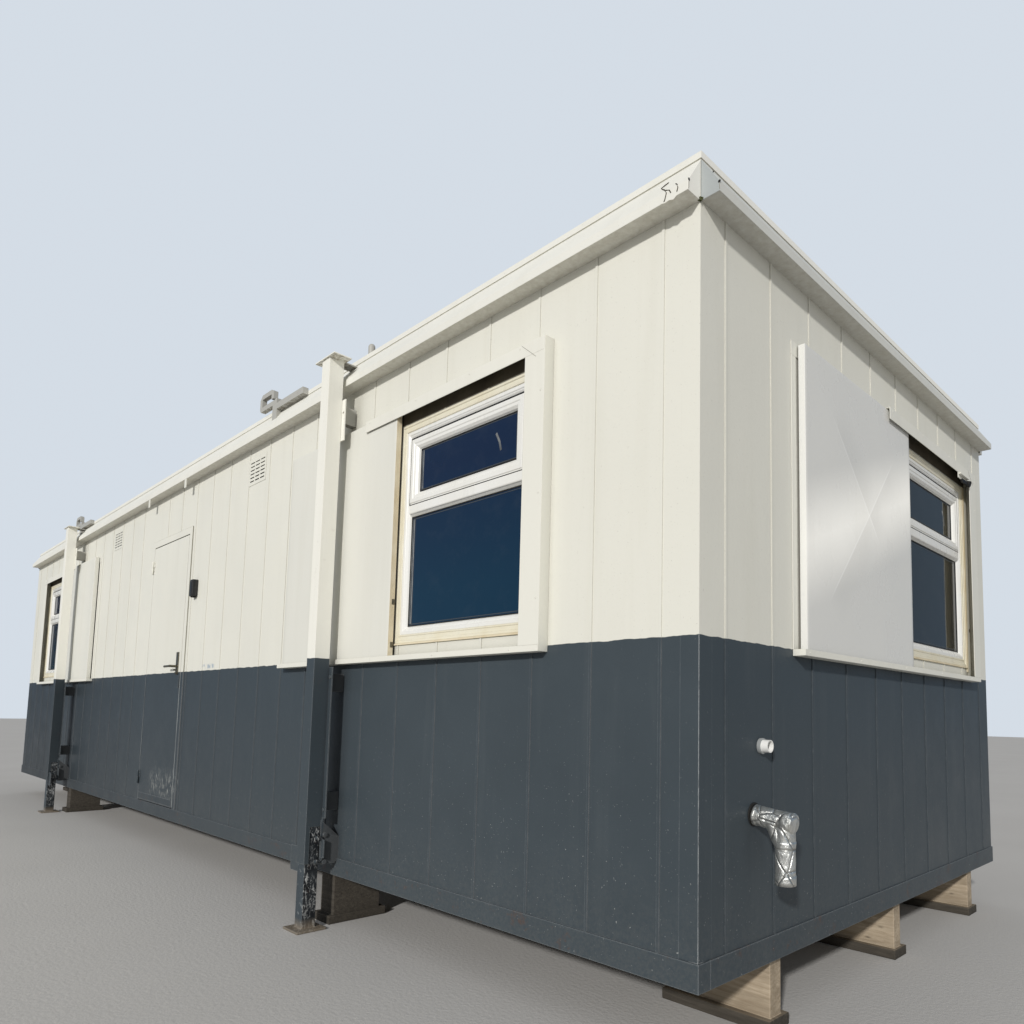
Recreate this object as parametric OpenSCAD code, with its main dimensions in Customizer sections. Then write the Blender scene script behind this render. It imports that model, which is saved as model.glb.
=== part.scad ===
// Jackleg steel site cabin with sliding window shutters, standing on timber packs.
// Millimetres. +X runs along the cabin, the long side with the door faces -Y, and z = 0 is the ground.

/* [Cabin] */
// Length of the body over its walls
cabin_len = 9754; // [9000:1:12000]
// Width of the body over its walls
cabin_wid = 3048; // [2600:1:3600]
// Height of the body's underside above the ground
clear_h = 240; // [180:1:320]
// Height from the body's underside to the soffit
eaves_h = 2496; // [2430:1:2800]

/* [Base] */
// Height of the base rail
rail_h = 86; // [70:1:120]
// Width of the base rail's flanges
rail_w = 64; // [50:1:90]
// Thickness of the base rail's steel
rail_t = 6; // [4:0.5:8]
// How far the base rail stands out from the walls
rail_proud = 6; // [2:1:12]
// Number of floor joists
joist_n = 15; // [9:1:21]
// Width of a joist's flanges
joist_w = 50; // [40:1:70]
// Thickness of the floor
floor_t = 20; // [12:1:30]

/* [Walls] */
// Thickness of the walls
wall_t = 70; // [60:1:90]
// Distance between the wall ribs
rib_pitch = 304.8; // [250:0.1:400]
// Distance from a corner of the body to its first rib
rib_first = 150; // [110:1:200]
// Width of a rib
rib_w = 12; // [8:1:20]
// Height of a rib
rib_h = 3; // [1:0.5:4]
// Thickness of the steel in the corner posts
post_t = 5; // [3:0.5:8]

/* [Roof] */
// How far the roof rail stands out from the walls
rail_out = 72.5; // [50:0.5:90]
// Height of the roof rail's upright lip
lip_h = 34; // [20:1:50]
// Height of the roof rail's sloping face
slope_h = 112; // [80:1:130]
// Height of the roof rail's upright top edge
kerb_h = 22; // [18:1:40]
// Width of the flange under the roof sheet
flange_w = 50; // [30:1:64]
// Thickness of the roof steel
sheet_t = 4; // [2:0.5:6]
// Depth of the roof sheet's turned-down edge
drip_h = 20; // [10:1:22]
// Thickness of the ceiling
ceiling_t = 12; // [9:1:20]
// Gap between the ceiling and the soffit's level
ceiling_drop = 44; // [30:1:80]

/* [Door] */
// Place of the door's middle along the cabin
door_x = -23; // [-600:1:600]
// Width over the door frame
door_w = 880; // [800:1:1000]
// Height from the body's underside to the top of the door frame
door_top = 2150; // [2050:1:2250]
// Face width of the door frame
jamb_w = 50; // [40:1:70]
// How far the door stops reach behind the leaf
stop_w = 18; // [12:1:30]
// How far the door frame stands out from the wall
frame_proud = 8; // [4:1:15]
// Thickness of the door leaf
leaf_t = 40; // [32:1:48]
// Gap round the door leaf
leaf_gap = 7; // [6:0.5:10]
// Height of the handle's spindle above the body's underside
handle_z = 1115; // [950:1:1250]
// Distance from the leaf's free edge to the handle's spindle
backset = 62; // [50:1:90]
// Length of the lever
lever_len = 120; // [90:1:150]

/* [Windows] */
// Width over a window frame
win_w = 950; // [800:1:1000]
// Height over a window frame
win_h = 1049; // [900:1:1080]
// Distance from the soffit down to the window frames
win_drop = 316; // [300:1:360]
// Face width of the window frame
win_face = 78; // [60:1:90]
// Depth of the window frame
win_depth = 60; // [45:1:65]
// Height of the upper light, from the middle of the transom to the frame's top
top_light = 422; // [350:1:480]
// Face height of the transom
transom_h = 60; // [45:1:80]
// Face width of the opening sash
sash_face = 52; // [40:1:64]
// Thickness of the opening sash
sash_t = 46; // [30:1:55]
// Thickness of the double glazing
glass_t = 20; // [12:1:24]
// Place of the front windows, from the nearest end of the cabin to their middle
front_win = 1235; // [1100:1:1500]
// Place of the end window, from the back of the cabin to its middle
end_win = 848; // [790:1:900]

/* [Shutters] */
// Width of a sliding shutter
shut_w = 1086; // [1000:1:1100]
// Thickness of a shutter over its folded edges
shut_t = 34; // [26:1:40]
// Thickness of the shutter's sheet
shut_sheet = 3; // [2:0.5:4]
// Distance from the middle of the window to the nearest edge of the open shutter
shut_rest = 464; // [440:1:520]
// How far a shutter slides
shut_travel = 1019; // [900:1:1050]
// How far an upper track's flange reaches to the left of the window's middle
lip_start = 735; // [650:1:800]
// Gap between a shutter and its tracks
shut_gap = 5; // [5:0.5:8]
// How far the tracks reach below the window frames
track_low = 84; // [70:1:100]
// How far the tracks reach above the window frames
track_over = 81; // [72:1:95]
// Height of the front lip of the lower track
track_lip = 24; // [18:1:30]
// Height of the upper track
track_top_h = 56; // [45:1:70]
// Thickness of the tracks' steel
track_t = 3; // [2:0.5:4]
// Width of the box that the closed shutter runs into
stop_box = 112; // [90:1:130]
// Width of the flat strip at the open end
end_strip = 36; // [25:1:50]

/* [Jacklegs] */
// Place of a jackleg, from the nearest end of the cabin to its middle
leg_in = 2180; // [2080:1:2190]
// Size of the square outer tube
leg_s = 80; // [76:1:90]
// Thickness of the outer tube
leg_t = 4; // [3:0.5:5]
// Clear space between the wall and the outer tube
leg_off = 93; // [86:1:120]
// Height of the cap's underside above the soffit
cap_rise = 118; // [64:1:124]
// Height from the body's underside to the cut end of the outer tube
leg_cut = 248; // [200:1:320]
// Height from the body's underside to the end of the tube's front face
leg_tongue = 74; // [40:1:120]
// Depth of the front part of the tube that runs on below its cut end
tongue_t = 24; // [10:1:34]
// Length of the cap plate along the cabin
cap_len = 200; // [120:1:240]
// Depth of the cap plate
cap_dep = 100; // [90:1:130]
// Thickness of the cap plate
cap_t = 8; // [6:1:12]
// Width of the strap from the cap to the roof rail
strap_w = 76; // [50:1:110]
// Sliding gap round the inner leg
leg_gap = 0.5; // [0.3:0.1:2]
// Thickness of the inner leg's steel
inner_t = 5; // [3:0.5:6]
// Length of the inner leg above the foot plate
inner_len = 980; // [700:1:1400]
// Side of the square foot plate
foot_s = 150; // [120:1:200]
// Thickness of the foot plate
foot_t = 12; // [8:1:16]

/* [Fittings] */
// Length of the timbers on edge under the ends
pack_len = 420; // [300:1:520]
// Width of the timbers on edge
pack_wid = 75; // [60:1:120]
// Thickness of the board under each timber
board_h = 40; // [25:1:60]
// How far the board reaches past its timber
board_lap = 30; // [10:1:60]
// Place of the first timber, from the front of the cabin to its middle
pack_front = 498; // [400:1:700]
// Place of the last timber, from the back of the cabin to its middle
pack_back = 370; // [300:1:600]
// Length of the timbers beside the jacklegs, along the cabin
side_len = 130; // [100:1:200]
// Length of the timbers beside the jacklegs, across the cabin
side_wid = 260; // [150:1:400]
// Width of a wall vent
vent_w = 250; // [180:1:300]
// Height of a wall vent
vent_h = 176; // [120:1:200]
// Distance from the soffit down to the wall vents' underside
vent_drop = 246; // [230:1:300]
// Place of the wall vents, from the nearest end of the cabin to their middle
vent_in = 3375; // [3300:1:3450]
// Diameter of the waste stub
stub_d = 43; // [38:1:66]
// How far the waste stub stands out from the wall
stub_out = 38; // [25:1:60]
// Place of the waste stub, from the front of the cabin
stub_in = 368; // [340:1:400]
// Height of the waste stub above the body's underside
stub_z = 723; // [650:1:900]
// Diameter of the lagged pipe
pipe_d = 68; // [60:1:100]
// Place where the lagged pipe leaves the wall, from the front of the cabin
pipe_in = 322; // [290:1:350]
// Height of the lagged pipe's start above the body's underside
pipe_z = 498; // [440:1:560]
// How far the lagged pipe comes out from the wall to the middle of its elbow
pipe_out = 114; // [80:1:160]
// How much the lagged pipe falls on its way out
pipe_fall = 13; // [0:1:30]
// Length of the lagged pipe below its elbow
pipe_drop = 198; // [120:1:300]
// Side of the door light's face
light_w = 60; // [50:1:140]
// Height of the door light
light_h = 130; // [110:1:200]
// Height of the door light's middle above the body's underside
light_z = 1667; // [1500:1:1800]

/* [Hidden] */
$fn = 48;
half_l = cabin_len / 2;
half_w = cabin_wid / 2;
in_l = half_l - wall_t;
in_w = half_w - wall_t;
wall_h = eaves_h - rail_h;
wall_z = clear_h + rail_h;
soffit_z = clear_h + eaves_h;
slope_z = lip_h + slope_h;
roof_z = slope_z + kerb_h;
cream = "#e9e6d8";
slate = "#4b565c";
eps = 1;
door_l = door_x - door_w / 2;
door_r = door_x + door_w / 2;
win_x = half_l - front_win;
end_y = half_w - end_win;
win_z = eaves_h - win_drop - win_h;
leg_x = half_l - leg_in;
shut_side = 10;
track_z = win_z - track_low;
track_span = win_h + track_low + track_over;
shut_h = track_span - 2 * track_t - 2 * shut_gap;
shut_out = track_t + shut_gap;
track_d = shut_t + 2 * shut_gap + 2 * track_t;
track_l = shut_rest + shut_w + shut_side + end_strip;
track_r = shut_travel - shut_rest + shut_gap + track_t;

// Turns a piece drawn for the front wall, with y = 0 on the wall's face, to its place
module on_front(x) { translate([x, -half_w, clear_h]) children(); }
module on_back(x) { translate([x, half_w, clear_h]) rotate([0, 0, 180]) children(); }
module on_near(y) { translate([half_l, y, clear_h]) rotate([0, 0, 90]) children(); }
module on_far(y) { translate([-half_l, y, clear_h]) rotate([0, 0, -90]) children(); }

// Base
// A length of channel along x with its web at y = 0 and its flanges towards +y
module channel(len, h, w, t) {
    translate([-len / 2, 0, 0]) {
        cube([len, t, h]);
        cube([len, w, t]);
        translate([0, 0, h - t]) cube([len, w, t]);
    }
}
module base_rails_long() {
    l = cabin_len + 2 * rail_proud;
    color(slate) for (a = [0, 180]) rotate([0, 0, a]) translate([0, -half_w - rail_proud, clear_h]) {
        channel(l, rail_h, rail_w, rail_t);
        for (x = [-l / 2, l / 2 - rail_t]) translate([x, 0, 0]) cube([rail_t, rail_w, rail_h]);
    }
}
module base_rails_end() {
    w = cabin_wid + 2 * rail_proud - 2 * rail_w;
    color(slate) for (a = [0, 180]) rotate([0, 0, a + 90])
        translate([0, -half_l - rail_proud, clear_h]) channel(w, rail_h, rail_w, rail_t);
}
module floor_joists() {
    l = cabin_len + 2 * rail_proud - 2 * rail_w;
    w = cabin_wid + 2 * rail_proud - 2 * rail_w;
    color(slate) for (i = [1:joist_n])
        translate([l * i / (joist_n + 1) - l / 2, 0, clear_h]) beam(w, joist_w, rail_h, rail_t);
}
// An I section along y
module beam(len, w, h, t) {
    for (z = [0, h - t]) translate([-w / 2, -len / 2, z]) cube([w, len, t]);
    translate([-t / 2, -len / 2, 0]) cube([t, len, h]);
}
module floor_deck() {
    color("#8a8479") translate([-in_l, -in_w, wall_z]) cube([2 * in_l, 2 * in_w, floor_t]);
}

// Walls, each drawn with y = 0 on its outer face and +y into the cabin
module corner_posts() {
    color(cream) for (sx = [-1, 1], sy = [-1, 1]) {
        translate([sx * (half_l - wall_t / 2), sy * (half_w - wall_t / 2), wall_z]) difference() {
            translate([-wall_t / 2, -wall_t / 2, 0]) cube([wall_t, wall_t, wall_h]);
            translate([-wall_t / 2 + post_t, -wall_t / 2 + post_t, -eps])
                cube([wall_t - 2 * post_t, wall_t - 2 * post_t, wall_h + 2 * eps]);
        }
    }
}
module rib(x, z0, z1) { translate([x - rib_w / 2, -rib_h, z0]) cube([rib_w, rib_h + eps, z1 - z0]); }
// Ribs between x0 and x1, counted from the corner at x = corner
module ribs(x0, x1, corner, z0, z1) {
    n = ceil(cabin_len / rib_pitch);
    step = corner > 0 ? -1 : 1;
    for (i = [0:n]) {
        x = corner + step * (rib_first + i * rib_pitch);
        if (x > x0 + rib_w && x < x1 - rib_w) rib(x, z0, z1);
    }
}
module slab(x0, x1, z0, z1) { translate([x0, 0, z0]) cube([x1 - x0, wall_t, z1 - z0]); }
// What stands on the wall round a window and lies flat on its face
module window_hole(x) {
    translate([x - win_w / 2, -rib_h - eps, win_z]) cube([win_w, wall_t + rib_h + 2 * eps, win_h]);
}
module track_seat(x, dir) {
    x0 = dir > 0 ? x - track_l : x - track_r;
    for (band = [[0, track_lip], [track_span - track_top_h, track_top_h]])
        translate([x0, -rib_h - eps, track_z + band[0]]) cube([track_l + track_r, rib_h + eps, band[1]]);
    for (u = [-track_l, track_r - stop_box]) {
        w = u < 0 ? end_strip : stop_box;
        xs = dir > 0 ? x + u : x - u - w;
        translate([xs, -rib_h - eps, track_z]) cube([w, rib_h + eps, track_span]);
    }
}
module leg_seat(x) {
    for (z = spacer_zs) translate([x - spacer_w / 2, -rib_h - eps, z])
        cube([spacer_w, rib_h + eps, spacer_h]);
}
vent_z = eaves_h - vent_drop;
vent_lap = 15;
module vent_hole(x) {
    translate([x - vent_w / 2 + vent_lap, -rib_h - eps, vent_z + vent_lap])
        cube([vent_w - 2 * vent_lap, wall_t + rib_h + 2 * eps, vent_h - 2 * vent_lap]);
    translate([x - vent_w / 2, -rib_h - eps, vent_z]) cube([vent_w, rib_h + eps, vent_h]);
}
module front_wall_side(dir) {
    x0 = dir > 0 ? door_r : -in_l;
    x1 = dir > 0 ? in_l : door_l;
    color(cream) on_front(0) difference() {
        union() {
            slab(x0, x1, rail_h, eaves_h);
            ribs(x0, x1, dir * half_l, rail_h, eaves_h);
        }
        window_hole(dir * win_x);
        track_seat(dir * win_x, dir);
        vent_hole(dir * (half_l - vent_in));
        leg_seat(dir * leg_x);
        if (dir > 0) translate([light_x - light_w / 2, -rib_h - eps, light_z - light_h / 2])
            cube([light_w, rib_h + eps, light_h]);
    }
}
light_x = door_r + 138;
module front_wall_near() { front_wall_side(1); }
module front_wall_far() { front_wall_side(-1); }
module front_wall_over_door() {
    color(cream) on_front(0) {
        slab(door_l, door_r, door_top, eaves_h);
        ribs(door_l, door_r, half_l, door_top, eaves_h);
    }
}
module back_wall() {
    color(cream) on_back(0) difference() {
        union() {
            slab(-in_l, in_l, rail_h, eaves_h);
            ribs(-in_l, in_l, half_l, rail_h, eaves_h);
        }
        for (s = [-1, 1]) leg_seat(s * leg_x);
    }
}
module end_wall_near() {
    color(cream) on_near(0) difference() {
        union() {
            slab(-in_w, in_w, rail_h, eaves_h);
            ribs(-in_w, in_w, -half_w, rail_h, eaves_h);
        }
        window_hole(end_y);
        track_seat(end_y, 1);
        translate([pipe_y, -rib_h - eps, pipe_z]) rotate([-90, 0, 0])
            cylinder(d = collar_d + seat_gap, h = rib_h + eps);
        translate([stub_y, -rib_h - eps, stub_z]) rotate([-90, 0, 0])
            cylinder(d = stub_d + seat_gap, h = wall_t + rib_h + 2 * eps);
    }
}
module end_wall_far() {
    color(cream) on_far(0) {
        slab(-in_w, in_w, rail_h, eaves_h);
        ribs(-in_w, in_w, half_w, rail_h, eaves_h);
    }
}

// Roof
module ceiling() {
    color("#e6e3da") translate([-in_l, -in_w, soffit_z - ceiling_drop - ceiling_t])
        cube([2 * in_l, 2 * in_w, ceiling_t]);
}
// Beams on the rails' lower flanges that carry the roof sheet
module roof_beams() {
    l = cabin_len - 2 * flange_w;
    w = cabin_wid - 2 * flange_w;
    color("#c9c6ba") for (i = [1:joist_n]) translate([l * i / (joist_n + 1) - l / 2, 0, soffit_z + sheet_t])
        beam(w, joist_w, roof_z - sheet_t, sheet_t);
}
// Outline of the roof rail: x is outward from the wall's face, y is up from the soffit
slope_len = sqrt(rail_out * rail_out + slope_h * slope_h);
slope_run = rail_out / slope_h;
in_shift = rail_out - sheet_t * slope_len / slope_h;
function rail_outer() = [
    [-wall_t, 0], [rail_out, 0], [rail_out, lip_h], [0, slope_z], [0, roof_z], [-flange_w, roof_z]
];
function rail_inner() = [
    [-flange_w, roof_z - sheet_t], [-sheet_t, roof_z - sheet_t],
    [-sheet_t, lip_h + (in_shift + sheet_t) / slope_run],
    [rail_out - sheet_t, lip_h - (rail_out - sheet_t - in_shift) / slope_run],
    [rail_out - sheet_t, sheet_t], [-wall_t, sheet_t]
];
module rail_section() { polygon(concat(rail_outer(), rail_inner())); }
module rail_plate() { polygon(concat(rail_outer(), [[-wall_t, roof_z]])); }
// A length of roof rail along x, centred, standing out towards -y
module rail_run(len) {
    translate([-len / 2, 0, 0]) rotate([90, 0, 90]) linear_extrude(len) mirror([1, 0]) rail_section();
}
module rail_end(x) {
    translate([x, 0, 0]) rotate([90, 0, 90]) linear_extrude(sheet_t) mirror([1, 0]) rail_plate();
}
module long_rail() {
    rail_run(cabin_len);
    rail_end(-half_l);
    rail_end(half_l - sheet_t);
}
module short_rail() {
    difference() {
        union() {
            rail_run(cabin_wid);
            rail_end(-half_w);
            rail_end(half_w - sheet_t);
        }
        for (s = [-1, 1]) translate([s * (half_w - wall_t / 2) - wall_t / 2 - (s < 0 ? eps : 0), 0, -eps])
            cube([wall_t + eps, wall_t + eps, roof_z + 2 * eps]);
    }
}
module roof_rail_front() { color(cream) on_front(0) translate([0, 0, eaves_h]) long_rail(); }
module roof_rail_back() { color(cream) on_back(0) translate([0, 0, eaves_h]) long_rail(); }
module roof_rail_near() { color(cream) on_near(0) translate([0, 0, eaves_h]) short_rail(); }
module roof_rail_far() { color(cream) on_far(0) translate([0, 0, eaves_h]) short_rail(); }
module roof_sheet() {
    l = cabin_len + 2 * sheet_t;
    w = cabin_wid + 2 * sheet_t;
    color("#d9d7cc") translate([0, 0, soffit_z + roof_z]) difference() {
        translate([-l / 2, -w / 2, -drip_h]) cube([l, w, drip_h + sheet_t]);
        translate([-half_l, -half_w, -drip_h - eps]) cube([cabin_len, cabin_wid, drip_h + eps]);
    }
}

// Door
leaf_y = -frame_proud;
seal_gap = 5;
rebate_y = leaf_y + leaf_t + seal_gap;
sill_h = floor_t + 4;
module frame_section() {
    polygon([
        [0, -frame_proud], [jamb_w, -frame_proud], [jamb_w, rebate_y], [jamb_w + stop_w, rebate_y],
        [jamb_w + stop_w, wall_t], [0, wall_t]
    ]);
}
module door_frame() {
    h = door_top - rail_h;
    color("#dedbd0") on_front(0) {
        translate([door_l, 0, rail_h]) linear_extrude(h) frame_section();
        translate([door_r, 0, rail_h]) mirror([1, 0, 0]) linear_extrude(h) frame_section();
        translate([door_r, 0, door_top]) rotate([0, 90, 180])
            linear_extrude(door_w) mirror([0, 1]) frame_section();
        translate([door_l + jamb_w, rebate_y, rail_h])
            cube([door_w - 2 * jamb_w, wall_t - rebate_y, sill_h]);
    }
}
leaf_l = door_l + jamb_w + leaf_gap;
leaf_r = door_r - jamb_w - leaf_gap;
leaf_b = rail_h + leaf_gap;
leaf_top = door_top - jamb_w - leaf_gap;
module door_leaf() {
    color("#e6e3d7") on_front(0) translate([leaf_l, leaf_y, leaf_b])
        cube([leaf_r - leaf_l, leaf_t, leaf_top - leaf_b]);
}
// Lift-off hinges: the lower knuckle and its pin are on the frame, the upper knuckle is on the leaf
hinge_r = 8;
hinge_h = 50;
pin_d = 9;
hinge_x = door_l + jamb_w + leaf_gap / 2;
hinge_y = -frame_proud - hinge_r;
hinge_plate = 3;
hinge_wing = 34;
hinge_low = 170;
hinge_high = 155;
hinge_zs = [leaf_b + hinge_low, leaf_top - hinge_high];
knuckle_gap = 0.5;
pin_h = hinge_h - 10;
bore_h = hinge_h - 6;
module hinge_wing_at(s) {
    x0 = s > 0 ? leaf_gap / 2 : -hinge_wing;
    translate([x0, hinge_r - hinge_plate, 0]) cube([hinge_wing - leaf_gap / 2, hinge_plate, hinge_h]);
    translate([s > 0 ? 0 : -leaf_gap / 2 - eps, hinge_r - hinge_plate, 0])
        cube([leaf_gap / 2 + eps, hinge_plate - knuckle_gap, hinge_h]);
}
module door_hinges_frame() {
    color("#b9b6aa") on_front(0) for (z = hinge_zs) translate([hinge_x, hinge_y, z]) {
        translate([0, 0, -hinge_h]) {
            cylinder(r = hinge_r, h = hinge_h);
            hinge_wing_at(-1);
        }
        cylinder(d = pin_d, h = pin_h);
    }
}
module door_hinges_leaf() {
    color("#b9b6aa") on_front(0) for (z = hinge_zs)
        translate([hinge_x, hinge_y, z + knuckle_gap]) difference() {
            union() {
                cylinder(r = hinge_r, h = hinge_h);
                hinge_wing_at(1);
            }
            translate([0, 0, -eps]) cylinder(d = pin_d + 1, h = bore_h + eps);
        }
}
// Handle plate and lever, drawn with x = 0 and z = 0 at the spindle and y = 0 on the leaf's face
handle_x = leaf_r - backset;
plate_t = 8;
plate_w = 40;
plate_low = 60;
plate_h = 165;
module door_handle_plate() {
    color("#b8b8b4") on_front(handle_x) translate([-plate_w / 2, leaf_y - plate_t, handle_z - plate_low])
        cube([plate_w, plate_t, plate_h]);
}
lever_gap = 0.3;
lever_out = 52;
lever_d = 16;
hub_d = 18;
module door_lever() {
    color("#c4c4c0") on_front(handle_x) translate([0, leaf_y - plate_t - lever_gap, handle_z]) {
        rotate([90, 0, 0]) cylinder(d = hub_d, h = lever_out);
        translate([0, lever_d / 2 - lever_out, 0]) rotate([0, -90, 0]) cylinder(d = lever_d, h = lever_len);
        translate([-lever_len, lever_d / 2 - lever_out, 0]) sphere(d = lever_d);
    }
}

// Windows, drawn with x = 0 at the window's middle and y = 0 on the wall's face
pane_w = win_w - 2 * win_face;
top_open = top_light - win_face - transom_h / 2;
low_open = win_h - top_light - win_face - transom_h / 2;
win_in = 4;
module window_frame() {
    difference() {
        translate([-win_w / 2, win_in, win_z]) cube([win_w, win_depth, win_h]);
        translate([-pane_w / 2, win_in - eps, win_z + win_face])
            cube([pane_w, win_depth + 2 * eps, low_open]);
        translate([-pane_w / 2, win_in - eps, win_z + win_h - win_face - top_open])
            cube([pane_w, win_depth + 2 * eps, top_open]);
    }
}
module window_sash() {
    z0 = win_z + win_h - win_face - top_open;
    translate([0, win_in + (win_depth - sash_t) / 2, z0]) difference() {
        translate([-pane_w / 2, 0, 0]) cube([pane_w, sash_t, top_open]);
        translate([-pane_w / 2 + sash_face, -eps, sash_face])
            cube([pane_w - 2 * sash_face, sash_t + 2 * eps, top_open - 2 * sash_face]);
    }
}
module window_panes() {
    z0 = win_z + win_h - win_face - top_open;
    y0 = win_in + (win_depth - glass_t) / 2;
    translate([-pane_w / 2, y0, win_z + win_face]) cube([pane_w, glass_t, low_open]);
    translate([-pane_w / 2 + sash_face, y0, z0 + sash_face])
        cube([pane_w - 2 * sash_face, glass_t, top_open - 2 * sash_face]);
}
module at_windows() {
    for (s = [-1, 1]) on_front(s * win_x) children();
    on_near(end_y) children();
}
module window_frames() { color("#f0eee6") at_windows() window_frame(); }
module window_sashes() { color("#f6f5f0") at_windows() window_sash(); }
module window_glass() { color("#2f3b4b") at_windows() window_panes(); }

// Sliding shutters, drawn open to the left of a window whose middle is at x = 0
glide_l = 60;
glide_t = 10;
glide_in = 120;
glide_gap = 0.4;
module shutter() {
    x0 = -shut_rest - shut_w;
    z0 = track_z + track_t + shut_gap;
    glide_h = shut_gap - glide_gap + glide_t;
    translate([x0, -shut_out - shut_t, z0]) difference() {
        cube([shut_w, shut_t, shut_h]);
        translate([shut_sheet, shut_sheet, shut_sheet])
            cube([shut_w - 2 * shut_sheet, shut_t, shut_h - 2 * shut_sheet]);
    }
    zs = [z0 - shut_gap + glide_gap, z0 + shut_h - glide_t];
    for (x = [x0 + glide_in, x0 + shut_w - glide_in - glide_l], z = zs)
        translate([x, shut_sheet - shut_out - shut_t, z]) cube([glide_l, glide_t, glide_h]);
}
// Tracks and stops, drawn for a shutter that slides to the right
track_len = track_l + track_r;
module track_bar(lip, up, start) {
    flange_len = track_r - track_t - start;
    translate([0, 0, track_z + (up ? track_span : 0)]) mirror([0, 0, up ? 1 : 0]) {
        translate([start, -track_d, 0]) cube([flange_len, track_d, track_t]);
        translate([start, -track_d, 0]) cube([flange_len, track_t, lip]);
        translate([-track_l, -track_t, 0]) cube([track_len - track_t, track_t, lip]);
        if (!up) translate([start, -track_d, 0]) cube([track_t, track_d, lip]);
    }
}
module stop_channel() {
    z0 = track_z + track_lip;
    h = track_span - track_lip - track_top_h;
    translate([track_r - stop_box, 0, z0]) {
        translate([0, -track_d, 0]) cube([stop_box, track_t, h]);
        translate([stop_box - track_t, -track_d, -track_lip]) cube([track_t, track_d, track_span]);
        translate([stop_box / 2, -track_t, 0]) cube([stop_box / 2, track_t, h]);
    }
    translate([-track_l, -track_t, z0]) cube([end_strip, track_t, h]);
}
module at_shutters() {
    on_front(win_x) children();
    on_front(-win_x) mirrored() children();
    on_near(end_y) children();
}
module shutter_tracks_upper() { color(cream) at_shutters() track_bar(track_top_h, true, -lip_start); }
module shutter_tracks_lower() { color(cream) at_shutters() track_bar(track_lip, false, -track_l); }
module shutter_stops() { color(cream) at_shutters() stop_channel(); }
module mirrored() { mirror([1, 0, 0]) children(); }
module shutter_near() { color("#e8e5d9") on_front(win_x) shutter(); }
module shutter_far() { color("#e8e5d9") on_front(-win_x) mirrored() shutter(); }
module shutter_end() { color("#e3e1d8") on_near(end_y) shutter(); }

// Jacklegs, drawn with x = 0 at the leg's middle and y = 0 on the wall's face
leg_y = -leg_off - leg_s / 2;
leg_top = eaves_h + cap_rise;
cheek_t = 6;
cheek_z = 66;
cheek_h = 212;
cheek_low = 128;
cheek_lap = 5;
cheek_bevel = 12;
back_w = 140;
back_t = 6;
flange_z = [100, 187];
keeper_zs = [78, 208];
keeper_d = 22;
keeper_len = 8;
plate_side = 80;
plate_thick = 6;
plate_span = [30, 150];
plate_set = 10;
spacer_w = 40;
spacer_h = 90;
back_gap = 17;
lower_back = [290, track_z - back_gap];
upper_back = [eaves_h - 304, eaves_h - 86];
spacer_in = 30;
spacer_top = 20;
spacer_zs = [
    lower_back[0] + spacer_in, lower_back[1] - spacer_in - spacer_h, upper_back[1] - spacer_top - spacer_h
];
strap_room = 200;
module square_tube(s, t, h) {
    difference() {
        translate([-s / 2, -s / 2, 0]) cube([s, s, h]);
        translate([-s / 2 + t, -s / 2 + t, -eps]) cube([s - 2 * t, s - 2 * t, h + 2 * eps]);
    }
}
module jackleg_tube() {
    translate([0, leg_y, leg_tongue]) difference() {
        square_tube(leg_s, leg_t, leg_top - leg_tongue);
        translate([-leg_s / 2 - eps, tongue_t - leg_s / 2, -eps])
            cube([leg_s + 2 * eps, leg_s, leg_cut - leg_tongue + eps]);
    }
}
// Cap plate with the strap that ties it to the roof rail's slope
module jackleg_cap() {
    reach = leg_off + leg_s / 2 - cap_dep / 2;
    translate([-cap_len / 2, leg_y - cap_dep / 2, leg_top]) cube([cap_len, cap_dep, cap_t]);
    translate([-strap_w / 2, -reach - eps, leg_top]) difference() {
        cube([strap_w, reach + eps, cap_t]);
        translate([0, reach + eps, eaves_h - leg_top]) strap_cut();
    }
}
module strap_cut() {
    translate([-eps, 0, 0]) rotate([90, 0, 90]) linear_extrude(strap_w + 2 * eps) mirror([1, 0])
        polygon(concat(rail_outer(), [[-strap_room, roof_z], [-strap_room, 0]]));
}
// Plates behind the tube, their spacers on the wall, and the cheeks of the lower bracket
module jackleg_bracket() {
    for (z = [lower_back, upper_back])
        translate([-back_w / 2, -leg_off, z[0]]) cube([back_w, back_t, z[1] - z[0]]);
    for (z = spacer_zs)
        translate([-spacer_w / 2, back_t - leg_off, z]) cube([spacer_w, leg_off - back_t, spacer_h]);
    for (x = [-leg_s / 2 - cheek_t, leg_s / 2]) translate([x, 0, cheek_z])
        rotate([90, 0, 90]) linear_extrude(cheek_t) cheek_outline();
    for (s = [-1, 1]) {
        x0 = s > 0 ? leg_s / 2 + cheek_t : -back_w / 2;
        translate([x0, back_t - leg_off - back_t, flange_z[0]])
            cube([back_w / 2 - leg_s / 2 - cheek_t, back_t, flange_z[1] - flange_z[0]]);
        for (z = keeper_zs) translate([s * (leg_s / 2 + cheek_t), back_t - leg_off + keeper_d / 2, z])
            rotate([0, s * 90, 0]) cylinder(d = keeper_d, h = keeper_len);
    }
    translate([-leg_s / 2 - plate_side, plate_set - leg_off - leg_s, plate_span[0]])
        cube([plate_side, plate_thick, plate_span[1] - plate_span[0]]);
}
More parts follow.
